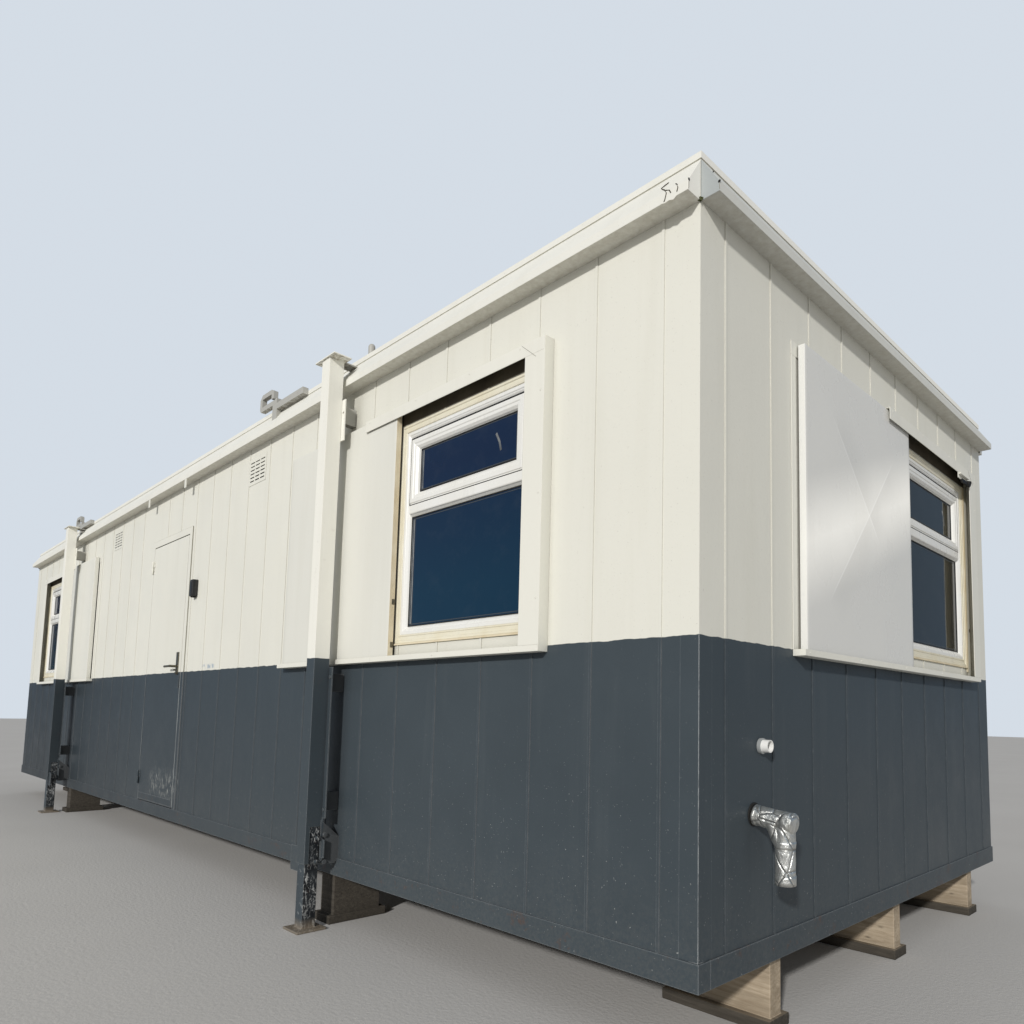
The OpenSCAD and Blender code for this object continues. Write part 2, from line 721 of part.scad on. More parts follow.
// A cheek beside the tube: its foot lies on the base rail and its top slopes down to the rail
module cheek_outline() {
    out = leg_off + cheek_lap;
    polygon([
        [-out, cheek_bevel], [cheek_bevel - out, 0],
        [-rail_proud - cheek_bevel, 0], [-rail_proud, cheek_bevel],
        [-rail_proud, rail_h - cheek_z], [0, rail_h - cheek_z], [0, cheek_low], [-out, cheek_h]
    ]);
}
inner_s = leg_s - 2 * leg_t - 2 * leg_gap;
module inner_leg() {
    translate([0, leg_y, foot_t - clear_h]) square_tube(inner_s, inner_t, inner_len);
    translate([-foot_s / 2, leg_y - foot_s / 2, -clear_h]) cube([foot_s, foot_s, foot_t]);
}
module at_legs() {
    for (x = [-leg_x, leg_x]) {
        on_front(x) children();
        on_back(x) children();
    }
}
module jackleg_tubes() { color(cream) at_legs() jackleg_tube(); }
module jackleg_caps() { color(cream) at_legs() jackleg_cap(); }
module jackleg_brackets() {
    color(cream) {
        on_front(leg_x) jackleg_bracket();
        on_front(-leg_x) mirrored() jackleg_bracket();
        on_back(leg_x) jackleg_bracket();
        on_back(-leg_x) mirrored() jackleg_bracket();
    }
}
module inner_leg_front_near() { color(slate) on_front(leg_x) inner_leg(); }
module inner_leg_front_far() { color(slate) on_front(-leg_x) inner_leg(); }
module inner_leg_back_near() { color(slate) on_back(leg_x) inner_leg(); }
module inner_leg_back_far() { color(slate) on_back(-leg_x) inner_leg(); }

// Fittings
slot_rows = 6;
slot_cols = 3;
slot_h = 8;
slot_in = 20;
slot_bar = 16;
module vent() {
    pitch = (vent_h - 2 * vent_lap) / slot_rows;
    step = (vent_w - 2 * slot_in + slot_bar) / slot_cols;
    translate([-vent_w / 2, -rib_h, vent_z]) difference() {
        cube([vent_w, rib_h, vent_h]);
        for (i = [0:slot_rows - 1], j = [0:slot_cols - 1])
            translate([slot_in + j * step, -eps, vent_lap + (i + 0.5) * pitch - slot_h / 2])
                cube([step - slot_bar, rib_h + 2 * eps, slot_h]);
    }
}
module wall_vents() {
    color("#dcdacb") for (s = [-1, 1]) on_front(s * (half_l - vent_in)) vent();
}
seat_gap = 0.6;
stub_y = stub_in - half_w;
stub_wall = 3;
module waste_stub() {
    color("#f4f4f2") on_near(stub_y) translate([0, wall_t, stub_z]) rotate([90, 0, 0]) difference() {
        cylinder(d = stub_d, h = wall_t + stub_out);
        translate([0, 0, -eps]) cylinder(d = stub_d - 2 * stub_wall, h = wall_t + stub_out + 2 * eps);
    }
}
pipe_y = pipe_in - half_w;
elbow_d = pipe_d + 6;
collar_d = pipe_d + 10;
collar_t = 4;
// A pipe that comes out of a collar on the wall with a fall and turns down at an elbow
module lagged_pipe() {
    tilt = atan2(pipe_fall, pipe_out);
    color("#c9ccd2") on_near(pipe_y) translate([0, 0, pipe_z]) {
        rotate([-90, 0, 0]) translate([0, 0, -collar_t]) cylinder(d = collar_d, h = collar_t);
        intersection() {
            rotate([90 + tilt, 0, 0]) translate([0, 0, -pipe_d])
                cylinder(d = pipe_d, h = pipe_d + pipe_out / cos(tilt));
            translate([-pipe_d, -2 * pipe_out, -pipe_d])
                cube([2 * pipe_d, 2 * pipe_out - collar_t / 2, 2 * pipe_d]);
        }
        translate([0, -pipe_out, -pipe_fall]) {
            sphere(d = elbow_d);
            translate([0, 0, -pipe_drop]) cylinder(d = pipe_d, h = pipe_drop);
        }
    }
}
// Timbers on edge under both ends and beside the jacklegs, each on a flat board
pack_off = 84;
pack_ys = [pack_front, half_w + pack_off, cabin_wid - pack_back];
pack_in = 20;
side_gap = 14;
side_shift = 65;
end_lap = 15;
module support(len, wid) {
    translate([-len / 2, -wid / 2, board_h]) cube([len, wid, clear_h - board_h]);
    translate([-len / 2 - end_lap, -wid / 2 - board_lap, 0])
        cube([len + 2 * end_lap, wid + 2 * board_lap, board_h]);
}
module timber_packs() {
    color("#8d7d68") {
        for (dir = [-1, 1], y = pack_ys)
            translate([dir * (half_l - pack_in - pack_len / 2), y - half_w, 0]) support(pack_len, pack_wid);
        for (sx = [-1, 1], sy = [-1, 1])
            translate([sx * (leg_x - side_shift), sy * (half_w - side_gap - side_wid / 2), 0])
                support(side_len, side_wid);
    }
}
light_d = 45;
module door_light() {
    color("#1d1d1f") on_front(light_x) translate([-light_w / 2, -light_d, light_z - light_h / 2])
        cube([light_w, light_d, light_h]);
}
// Flat tabs that hang from the roof rail's lip on both sides of the door
tab_w = 35;
tab_t = 5;
tab_h = 66;
tab_near = 25;
tab_far = 35;
module soffit_straps() {
    color(cream) for (x = [door_l + tab_far, door_r - tab_near])
        on_front(x) translate([-tab_w / 2, -rail_out, eaves_h - tab_h]) cube([tab_w, tab_t, tab_h]);
}
// Lifting lugs: a bar along the roof's edge with a wedge under it and a hook at one end
// Drawn with x = 0 at the end that has no hook
lug_near = 2157;
lug_far = 2420;
lug_len = 400;
lug_d = 35;
lug_h = 40;
wedge_len = 60;
hook_t = 30;
hook_len = 240;
hook_h = 110;
hook_tip = 34;
hook_lap = 50;
hook_d = 30;
function slope_at(out) = slope_z - out / slope_run;
module lifting_lug() {
    x0 = -lug_len;
    translate([0, -sheet_t, eaves_h]) {
        translate([x0, -lug_d, slope_z]) cube([lug_len, lug_d, lug_h]);
        translate([x0, 0, 0]) rotate([90, 0, 90]) linear_extrude(wedge_len) polygon([
            [0, slope_z], [0, slope_at(sheet_t)], [-lug_d, slope_at(lug_d + sheet_t)], [-lug_d, slope_z]
        ]);
        translate([x0 + hook_lap, -(lug_d - hook_d) / 2, slope_z + lug_h])
            rotate([90, 0, 0]) linear_extrude(hook_d) hook_outline();
    }
}
// The hook opens towards +x and lies on the bar's end; x = 0 is its lower arm's end
module hook_outline() {
    polygon([
        [0, 0], [0, hook_tip], [-hook_t / 2, hook_tip], [-hook_t, hook_t], [hook_t - hook_len, hook_t],
        [hook_t - hook_len, hook_h - hook_t], [-hook_lap - hook_t, hook_h - hook_t],
        [-hook_lap - hook_t, hook_h - hook_t - hook_tip], [-hook_lap, hook_h - hook_t - hook_tip],
        [-hook_lap, hook_h - hook_t / 2], [-hook_lap - hook_t, hook_h], [hook_t - hook_len, hook_h],
        [-hook_len, hook_h - hook_t], [-hook_len, hook_t / 2], [hook_t / 2 - hook_len, 0]
    ]);
}
peg_in = 110;
peg_d = 35;
peg_h = 48;
peg_y = 20;
roof_top = eaves_h + roof_z + sheet_t;
module lifting_lugs() {
    color(cream) {
        on_front(lug_near) lifting_lug();
        on_front(-lug_far) lifting_lug();
    }
}
module roof_pegs() {
    color(cream) for (s = [-1, 1]) on_front(s * (leg_x + peg_in)) translate([0, peg_y, roof_top]) {
        cylinder(d = peg_d, h = peg_h);
        translate([0, 0, peg_h]) sphere(d = peg_d);
    }
}

base_rails_long();
base_rails_end();
floor_joists();
floor_deck();
corner_posts();
front_wall_near();
front_wall_far();
front_wall_over_door();
back_wall();
end_wall_near();
end_wall_far();
ceiling();
roof_beams();
roof_rail_front();
roof_rail_back();
roof_rail_near();
roof_rail_far();
roof_sheet();
door_frame();
door_leaf();
door_hinges_frame();
door_hinges_leaf();
door_handle_plate();
door_lever();
window_frames();
window_sashes();
window_glass();
shutter_near();
shutter_far();
shutter_end();
shutter_tracks_upper();
shutter_tracks_lower();
shutter_stops();
jackleg_tubes();
jackleg_caps();
jackleg_brackets();
inner_leg_front_near();
inner_leg_front_far();
inner_leg_back_near();
inner_leg_back_far();
wall_vents();
waste_stub();
lagged_pipe();
timber_packs();
door_light();
soffit_straps();
lifting_lugs();
roof_pegs();
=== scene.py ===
"""A jackleg steel site cabin: materials for the fixed frame, and detailed pieces that ride on its bodies."""

import math
import random

import bmesh
import bpy
from mathutils import Matrix, Vector, noise


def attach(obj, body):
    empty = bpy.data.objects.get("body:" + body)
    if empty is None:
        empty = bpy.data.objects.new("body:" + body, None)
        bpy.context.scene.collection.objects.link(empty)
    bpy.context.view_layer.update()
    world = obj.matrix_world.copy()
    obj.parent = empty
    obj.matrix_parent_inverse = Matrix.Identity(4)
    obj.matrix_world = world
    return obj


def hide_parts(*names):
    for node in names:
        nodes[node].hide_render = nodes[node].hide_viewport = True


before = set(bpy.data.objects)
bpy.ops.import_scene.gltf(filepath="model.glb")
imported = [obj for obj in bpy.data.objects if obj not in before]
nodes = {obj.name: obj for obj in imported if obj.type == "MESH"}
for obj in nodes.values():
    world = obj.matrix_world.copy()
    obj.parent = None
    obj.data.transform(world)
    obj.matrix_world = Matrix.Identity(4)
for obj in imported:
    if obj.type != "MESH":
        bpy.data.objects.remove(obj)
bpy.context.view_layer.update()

# Sizes in metres, as in the cabin's source; heights count from the body's underside
HALF_L = 4.877
HALF_W = 1.524
CLEAR = 0.24
PAINT_Z = 1.3116
EAVES = 2.496
WIN_X = 3.642
END_Y = 0.676
WIN_W = 0.95
WIN_H = 1.049
WIN_Z = 1.131
WIN_FACE = 0.078
WIN_IN = 0.004
WIN_DEPTH = 0.06
PANE_W = WIN_W - 2 * WIN_FACE
TRANSOM = 0.06
TOP_OPEN = 0.314
LOW_OPEN = WIN_H - 2 * WIN_FACE - TRANSOM - TOP_OPEN
GLASS_Y = 0.024
SASH_FACE = 0.052
SASH_Y = 0.011
SASH_T = 0.046
TRACK_Z = 1.047
TRACK_SPAN = 1.214
TRACK_TOP = TRACK_Z + TRACK_SPAN
TRACK_D = 0.05
TRACK_R = 0.563
STOP_BOX = 0.112
SHUT_W = 1.086
SHUT_REST = 0.464
SHUT_Z = TRACK_Z + 0.008
SHUT_H = TRACK_SPAN - 0.016
SHUT_Y = -0.042
SHUT_T = 0.034
LEG_X = 2.697
LEG_Y = -0.133
LEG_S = 0.08
DOOR_L = -0.463
DOOR_R = 0.417
LEAF_L = -0.406
LEAF_R = 0.36
LEAF_TOP = 2.093
LEAF_Y = -0.008
HANDLE_X = 0.298
HANDLE_Z = 1.115
ROOF_Z = EAVES + 0.172


# Places: x runs to the right along a wall seen from outside, y runs into the cabin, z is up
def wall(x, y, turn, mirrored=False):
    place = Matrix.Translation((x, y, CLEAR)) @ Matrix.Rotation(turn, 4, "Z")
    return place @ Matrix.Diagonal((-1, 1, 1, 1)) if mirrored else place


def front(x=0.0, mirrored=False):
    return wall(x, -HALF_W, 0.0, mirrored)


def back(x=0.0, mirrored=False):
    return wall(x, HALF_W, math.pi, mirrored)


def near(y=0.0):
    return wall(HALF_L, y, math.pi / 2)


def far(y=0.0):
    return wall(-HALF_L, y, -math.pi / 2)


class Nodes:
    """Builds one procedural material."""

    # Sockets of a colour mix: its factor and two colours, and its result
    MIX_IN, MIX_OUT = (0, 6, 7), 2

    def __init__(self, name):
        self.material = bpy.data.materials.new(name)
        self.material.use_nodes = True
        self.tree = self.material.node_tree
        self.tree.nodes.clear()
        self.at = self.node("TexCoord").outputs["Object"]

    def node(self, kind, *values, **named):
        """A node whose inputs get values in order, or by name."""
        made = self.tree.nodes.new("ShaderNode" + kind)
        for socket, value in [*enumerate(values), *named.items()]:
            self.put(made.inputs[socket], value)
        return made

    def put(self, socket, value):
        if isinstance(value, bpy.types.NodeSocket):
            self.tree.links.new(value, socket)
        else:
            socket.default_value = (*value, 1.0) if socket.type == "RGBA" else value

    def math(self, operation, a, b=0.0, clamp=False):
        made = self.node("Math", a, b)
        made.operation = operation
        made.use_clamp = clamp
        return made.outputs[0]

    def times(self, a, b, clamp=False):
        return self.math("MULTIPLY", a, b, clamp)

    def plus(self, a, b):
        return self.math("ADD", a, b)

    def minus(self, a, b, clamp=False):
        return self.math("SUBTRACT", a, b, clamp)

    def ramp(self, value, low, high, to_low=0.0, to_high=1.0):
        return self.node("MapRange", value, low, high, to_low, to_high).outputs[0]

    def stretch(self, scale, offset=(0, 0, 0)):
        return self.node("Mapping", Vector=self.at, Scale=scale, Location=offset).outputs[0]

    def noise(self, scale, detail=3.0, rough=0.5, stretch=(1, 1, 1), offset=(0, 0, 0), distortion=0.0):
        return self.node("TexNoise", Vector=self.stretch(stretch, offset), Scale=scale, Detail=detail,
                         Roughness=rough, Distortion=distortion).outputs[0]

    def cells(self, scale, feature="F1", stretch=(1, 1, 1)):
        made = self.node("TexVoronoi", Vector=self.stretch(stretch), Scale=scale)
        made.feature = feature
        return made.outputs["Distance"]

    def mix(self, factor, a, b):
        made = self.node("Mix")
        made.data_type = "RGBA"
        for socket, value in zip(self.MIX_IN, (factor, a, b)):
            self.put(made.inputs[socket], value)
        return made.outputs[self.MIX_OUT]

    def xyz(self):
        return self.node("SeparateXYZ", Vector=self.at).outputs

    def vector(self, operation, a, b=None, scale=None):
        made = self.node("VectorMath")
        made.operation = operation
        for name, value in ((0, a), (1, b), ("Scale", scale)):
            if value is not None:
                self.put(made.inputs[name], value)
        return made.outputs["Value" if operation == "DOT_PRODUCT" else "Vector"]

    def normal(self):
        return self.node("NewGeometry").outputs["Normal"]

    def edges(self, radius):
        """1 along sharp edges, 0 on flat faces."""
        rounded = self.node("Bevel", Radius=radius)
        rounded.samples = 4
        same = self.vector("DOT_PRODUCT", rounded.outputs[0], self.normal())
        return self.ramp(self.minus(1.0, same), 0.02, 0.25)

    def bump(self, height, distance):
        return self.node("Bump", Strength=1.0, Distance=distance, Height=height).outputs[0]

    def lean(self, normal, amount, direction):
        """The normal, tipped towards a direction."""
        tip = self.vector("SCALE", direction, scale=amount)
        return self.vector("NORMALIZE", self.vector("ADD", normal, tip))

    def crevices(self, reach, low=0.25, high=0.85):
        """1 deep in corners and under overhangs, 0 in the open: the mask for painted shade."""
        made = self.node("AmbientOcclusion", Distance=reach)
        made.samples = 4
        return self.ramp(made.outputs["AO"], high, low)

    def band(self, value, middle, half, soft):
        """1 within half of the middle, 0 outside."""
        away = self.math("ABSOLUTE", self.minus(value, middle))
        return self.ramp(away, half + soft, half - soft)

    def spot(self, x, z, across, upright):
        """1 in a rectangle, given each way as (middle, half size, softness)."""
        return self.times(self.band(x, *across), self.band(z, *upright))

    def facing(self, x, y, z, low=0.4, high=0.6):
        """1 on faces that look along a direction, 0 on the others."""
        return self.ramp(self.vector("DOT_PRODUCT", self.normal(), (x, y, z)), low, high)

    def finish(self, color, rough, metallic, normal, specular=0.5):
        shader = self.node("BsdfPrincipled", Roughness=rough, Metallic=metallic, Normal=normal,
                           **{"Base Color": color, "Specular IOR Level": specular})
        self.node("OutputMaterial", Surface=shader.outputs[0])
        return self.material


def scaled(color, share):
    return tuple(c * share for c in color)


CREAM = (0.815, 0.808, 0.73)
CREAM_STREAK = (0.62, 0.6, 0.5)
CREAM_EDGE = (0.45, 0.42, 0.34)
CREAM_CREVICE_SHADE = (0.24, 0.228, 0.188)
SLATE = (0.057, 0.073, 0.085)
SLATE_WORN = (0.2, 0.22, 0.23)
SLATE_STREAK = (0.13, 0.145, 0.15)
SLATE_DUST = (0.21, 0.2, 0.175)
SLATE_DARK = (0.008, 0.01, 0.012)
SLATE_NICK = (0.42, 0.43, 0.42)
SLATE_CREVICE_SHADE = (0.02, 0.023, 0.026)
PRIMER = (0.3, 0.27, 0.22)
RUST = (0.14, 0.06, 0.028)
DUST = (0.36, 0.29, 0.21)
GRIME = (0.16, 0.15, 0.125)
EDGE_TONE = (0.15, 0.165, 0.18)
# Bare steel on worn edges, also used as painted light on the rib flanks
BARE_AND_LIT_TONE = (0.27, 0.285, 0.295)
FOLD_FADE = 0.12

# Marks on the front wall, as (x, half width, softness) and (z, half height, softness)
SCRATCHES = ((0.16, 0.29, 0.06), (0.485, 0.085, 0.05))
SMUDGE = ((0.875, 0.1, 0.02), (1.338, 0.014, 0.006))


def creases(n, y, z, folds):
    """Thin folds across a sheet, each from one (y, z) to another: (painted highlight along the fold, painted
    shade beside it).
    """
    light, shade = 0.0, 0.0
    for (y0, z0), (y1, z1) in folds:
        long = math.hypot(y1 - y0, z1 - z0)
        ey, ez = (y1 - y0) / long, (z1 - z0) / long
        from_y, from_z = n.minus(y, y0), n.minus(z, z0)
        along = n.plus(n.times(from_y, ey), n.times(from_z, ez))
        across = n.minus(n.times(from_z, ey), n.times(from_y, ez))
        inside = n.times(n.ramp(along, 0.0, FOLD_FADE), n.ramp(along, long, long - FOLD_FADE))
        light = n.plus(light, n.times(n.band(across, 0.0, 0.002, 0.003), inside))
        beside = n.times(n.ramp(across, 0.0, 0.006), n.ramp(across, 0.16, 0.0))
        shade = n.plus(shade, n.times(beside, inside))
    return light, shade


def paint(name, split=True, upper=CREAM, lower=SLATE, wear=1.0, rust=0.0, rough=0.42, wave=1.0, band=None,
          folds=(), edge_tone=EDGE_TONE, flank_light=0.0, dark=0.5, under=0.0, mottle=(0.42, 0.6), reach=0.1,
          behind=0.0, painted_facing_light=None, outer=False):
    """Sprayed steel: cream over slate where it is split, with worn edges, scuffs, streaks and dust, and
    painted shade in its crevices.
    """
    n = Nodes(name)
    x, y, z = n.xyz()
    wide = n.noise(0.55, 3)
    cloud = n.noise(4.0, 4, 0.6)
    streak = n.noise(1.0, 4, 0.6, stretch=(11, 11, 0.8))
    edge = n.edges(0.006)
    if outer:
        for value, half in ((x, HALF_L), (y, HALF_W)):
            edge = n.times(edge, n.ramp(n.math("ABSOLUTE", value), half - 0.035, half - 0.02))
    worn = n.times(edge, n.ramp(n.noise(22, 4, 0.7), 0.46, 0.6))
    # Mask for painted shade in corners, recesses and under overhangs
    deep = n.crevices(reach, 0.15, 0.62)

    top = n.mix(n.ramp(wide, 0.35, 0.68), upper, scaled(upper, 0.955))
    top = n.mix(n.ramp(streak, 0.5, 0.78, 0.0, 0.16), top, CREAM_STREAK)
    top = n.mix(n.times(n.ramp(n.noise(190, 2), 0.71, 0.74), 0.35), top, PRIMER)
    top = n.mix(n.times(worn, 0.12 * wear), top, CREAM_EDGE)
    # Painted shade in the cream's crevices
    top = n.mix(n.times(deep, dark), top, CREAM_CREVICE_SHADE)
    # Faces turned one way take another tone: painted light on the rail faces turned to +x, painted shade on
    # the end rails' faces turned to -y
    if painted_facing_light:
        way, painted_facing_tone = painted_facing_light
        top = n.mix(n.facing(*way, 0.3, 0.6), top, painted_facing_tone)
    if band:
        # A painted sheen along a bulging zone across the sheet, whose normal is also tipped there: (axis
        # offset, height, rise, half width)
        at, height, rise, half = band
        middle = n.plus(n.times(n.minus(y, at), rise), height)
        away = n.math("DIVIDE", n.math("ABSOLUTE", n.minus(z, middle)), half)
        painted_sheen = n.math("POWER", n.minus(1.0, away, True), 1.4)
        painted_sheen = n.times(painted_sheen, n.ramp(cloud, 0.2, 0.7, 0.75, 1.0))
        top = n.mix(n.minus(1.0, painted_sheen, True), top, scaled(upper, 0.86))
        # Painted highlight along each fold, and painted shade beside it
        light, shade = creases(n, y, z, folds)
        top = n.mix(n.times(shade, 0.11), top, (0.3, 0.3, 0.28))
        top = n.mix(n.times(light, 0.65), top, (1.0, 1.0, 0.98))

    low = n.mix(n.ramp(cloud, 0.35, 0.7), lower, scaled(lower, 1.12))
    low = n.mix(n.ramp(wide, 0.4, 0.62, 0.0, 0.45), low, scaled(lower, 0.86))
    low = n.mix(n.times(n.ramp(streak, 0.56, 0.8), 0.16), low, SLATE_STREAK)
    dust_top = n.plus(0.6, n.ramp(cloud, 0.2, 0.8, -0.2, 0.2))
    dust = n.times(n.ramp(z, dust_top, CLEAR), n.ramp(n.noise(70, 5, 0.75), 0.4, 0.85))
    low = n.mix(n.times(dust, 0.3), low, SLATE_DUST)
    on_front = n.ramp(y, -1.3, -1.5)
    low = n.mix(n.times(n.ramp(x, 3.0, -4.0, 0.0, 0.52), on_front), low, SLATE_DARK)
    low = n.mix(n.times(edge, 0.55 * wear, True), low, edge_tone)
    if flank_light:
        # Faces turned along x, the rib flanks, painted lighter: painted light
        lit_flanks = n.math("MAXIMUM", n.facing(1, 0, 0), n.facing(-1, 0, 0))
        low = n.mix(n.times(lit_flanks, flank_light), low, BARE_AND_LIT_TONE)
        scored = n.ramp(n.noise(1.0, 5, 0.8, stretch=(60, 60, 14)), 0.535, 0.59)
        scratches = n.times(n.times(n.spot(x, z, *SCRATCHES), on_front), scored)
        low = n.mix(n.times(scratches, 0.8), low, (0.36, 0.37, 0.35))
        blotted = n.ramp(n.noise(30, 4, 0.7), 0.46, 0.56)
        smudge = n.times(n.times(n.spot(x, z, *SMUDGE), on_front), blotted)
        top = n.mix(n.times(smudge, 0.8), top, (0.34, 0.42, 0.5))
    low = n.mix(n.times(worn, 0.65 * wear), low, SLATE_WORN)
    nick = n.times(n.ramp(n.noise(150, 2, offset=(4, 4, 4)), 0.735, 0.75), n.ramp(z, 1.1, 0.4, 0.15, 0.9))
    low = n.mix(nick, low, SLATE_NICK)
    # Painted shade in the slate's crevices
    low = n.mix(n.times(deep, 0.75), low, SLATE_CREVICE_SHADE)
    if split:
        line = n.plus(z, n.ramp(n.noise(16, 2), 0.3, 0.7, -0.0022, 0.0022))
        color = n.mix(n.ramp(line, PAINT_Z - 0.0009, PAINT_Z + 0.0009), low, top)
    else:
        color = low if upper == lower else top
    # Brown mottling on downward faces: partly rust stains, partly painted shade under the overhangs
    if under:
        blotch = n.times(n.facing(0, 0, -1), n.ramp(n.noise(34, 5, 0.7), *mottle))
        color = n.mix(n.times(blotch, under), color, (0.27, 0.22, 0.14))
    # Painted shade behind the legs' back plates
    if behind:
        behind_plate_shade = n.ramp(n.math("ABSOLUTE", y), HALF_W + 0.088, HALF_W + 0.082)
        color = n.mix(n.times(behind_plate_shade, behind), color, (0.1, 0.1, 0.1))
    if rust:
        spots = n.ramp(n.noise(14, 5, 0.75, offset=(5, 1, 2)), 0.62 - 0.1 * rust, 0.68)
        color = n.mix(n.times(spots, rust), color, RUST)
    height = n.plus(n.times(wide, wave), n.times(n.noise(60, 3), 0.02))
    height = n.plus(height, n.times(cloud, 0.1 * wave))
    normal = n.bump(height, 0.018)
    if band:
        normal = n.lean(normal, n.times(painted_sheen, 0.65), (0.0, -1.0, 0.0))
    roughness = n.plus(n.ramp(cloud, 0.3, 0.7, rough - 0.06, rough + 0.1), n.times(deep, 0.4))
    return n.finish(color, roughness, 0.0, normal, 0.22)


def bare_metal(name, color, rough, dirt):
    n = Nodes(name)
    brushed = n.noise(1.0, 3, 0.6, stretch=(40, 40, 400))
    blotch = n.noise(38, 4, 0.65)
    shade = n.mix(n.ramp(brushed, 0.3, 0.7, 0.0, 0.35), color, scaled(color, 0.7))
    shade = n.mix(n.times(n.ramp(blotch, 0.5, 0.7), dirt), shade, GRIME)
    shade = n.mix(n.times(n.edges(0.002), 0.5), shade, scaled(color, 1.35))
    roughness = n.ramp(blotch, 0.3, 0.7, rough - 0.08, rough + 0.2)
    return n.finish(shade, roughness, 0.9, n.bump(brushed, 0.0004))


def plastic(name, color, aged, rough=0.3, amount=0.5, specular=0.5, edge_tone=None, edge=0.25):
    n = Nodes(name)
    cloud = n.noise(7, 4, 0.6)
    grain = n.noise(320, 2)
    streak = n.noise(1.0, 4, 0.65, stretch=(30, 30, 3))
    shade = n.mix(n.times(n.ramp(cloud, 0.35, 0.7), amount), color, aged)
    shade = n.mix(n.times(n.ramp(streak, 0.55, 0.8), 0.25 * amount), shade, GRIME)
    shade = n.mix(n.times(n.edges(0.003), edge), shade, edge_tone or aged)
    return n.finish(shade, n.ramp(cloud, 0.3, 0.7, rough, rough + 0.12), 0.0, n.bump(grain, 0.0003), specular)


def glass(name):
    n = Nodes(name)
    x, _, z = n.xyz()
    haze = n.noise(9, 5, 0.7)
    smear = n.noise(1.0, 4, 0.6, stretch=(18, 18, 2.2))
    # Painted reflection: the pane bluer low down and, at the end window, darker and browner for the dim room
    # behind it; then pale haze
    painted_reflection_and_haze = n.mix(n.ramp(z, 1.6, 2.15), (0.006, 0.03, 0.062), (0.006, 0.016, 0.048))
    painted_reflection_and_haze = n.mix(n.ramp(x, 4.5, 4.6), painted_reflection_and_haze, (0.02, 0.021, 0.018))
    painted_reflection_and_haze = n.mix(n.times(n.ramp(haze, 0.5, 0.8), 0.05), painted_reflection_and_haze, (0.2, 0.21, 0.22))
    rough = n.ramp(smear, 0.4, 0.75, 0.02, 0.09)
    ripple = n.bump(n.noise(2.5, 2), 0.0012)
    return n.finish(painted_reflection_and_haze, rough, 0.0, ripple, 0.4)


def timber(name, light, dark):
    n = Nodes(name)
    grain = n.noise(1.0, 6, 0.7, stretch=(6, 60, 90), distortion=0.6)
    rings = n.noise(1.0, 3, 0.5, stretch=(2, 14, 22))
    knots = n.cells(9, stretch=(0.6, 1.6, 1.6))
    shade = n.mix(n.ramp(grain, 0.34, 0.66), light, dark)
    shade = n.mix(n.ramp(rings, 0.42, 0.62, 0.0, 0.45), shade, scaled(dark, 0.62))
    shade = n.mix(n.ramp(knots, 0.1, 0.03, 0.0, 0.7), shade, scaled(dark, 0.35))
    shade = n.mix(n.times(n.edges(0.006), 0.55), shade, scaled(light, 1.2))
    shade = n.mix(n.times(n.ramp(n.noise(30, 4), 0.5, 0.7), 0.3), shade, DUST)
    x, _, z = n.xyz()
    # Packs beside the legs and the boards low down take a darker tone
    darker_mask = n.math("MAXIMUM", n.ramp(n.math("ABSOLUTE", x), 3.6, 3.5), n.ramp(z, 0.0405, 0.0395))
    aged = n.mix(n.ramp(grain, 0.3, 0.7), (0.105, 0.092, 0.074), (0.048, 0.042, 0.035))
    shade = n.mix(darker_mask, shade, aged)
    # Painted shade in the crevices
    shade = n.mix(n.times(n.crevices(0.12), 0.6), shade, (0.03, 0.026, 0.02))
    return n.finish(shade, n.ramp(grain, 0.3, 0.7, 0.72, 0.92), 0.0, n.bump(grain, 0.0022), 0.25)


def flaking(name):
    """Slate paint that flakes off to pale galvanising and rust."""
    n = Nodes(name)
    flake = n.noise(66, 6, 0.72, stretch=(1, 1, 0.42), distortion=0.9)
    patch = n.noise(7, 3, offset=(2, 2, 2))
    z = n.xyz()[2]
    shade = n.mix(n.ramp(n.noise(18, 4), 0.35, 0.7), (0.01, 0.012, 0.014), (0.045, 0.052, 0.058))
    high = n.ramp(z, 0.06, 0.24)
    rim = n.ramp(n.cells(58, "DISTANCE_TO_EDGE", stretch=(1, 1, 0.6)), 0.1, 0.02)
    bare = n.math("MAXIMUM", n.ramp(flake, 0.56, 0.6), n.times(rim, n.ramp(flake, 0.46, 0.54)))
    bare = n.times(bare, n.ramp(patch, 0.34, 0.52))
    shade = n.mix(n.times(bare, n.ramp(high, 0.0, 1.0, 0.45, 0.95)), shade, (0.58, 0.59, 0.58))
    rust = n.times(n.ramp(n.noise(26, 5, 0.7, offset=(9, 4, 1)), 0.62, 0.7), 0.35)
    shade = n.mix(rust, shade, RUST)
    outward = n.math("MAXIMUM", n.facing(0, -1, 0), n.facing(0, 1, 0))
    kept = n.mix(n.ramp(n.noise(30, 4, 0.7), 0.6, 0.68), SLATE, SLATE_WORN)
    shade = n.mix(outward, shade, kept)
    shade = n.mix(n.times(n.edges(0.005), 0.45), shade, (0.3, 0.31, 0.31))
    shade = n.mix(n.ramp(z, 0.06, 0.015, 0.0, 0.55), shade, DUST)
    return n.finish(shade, n.ramp(flake, 0.4, 0.7, 0.45, 0.8), 0.15, n.bump(flake, 0.003), 0.4)


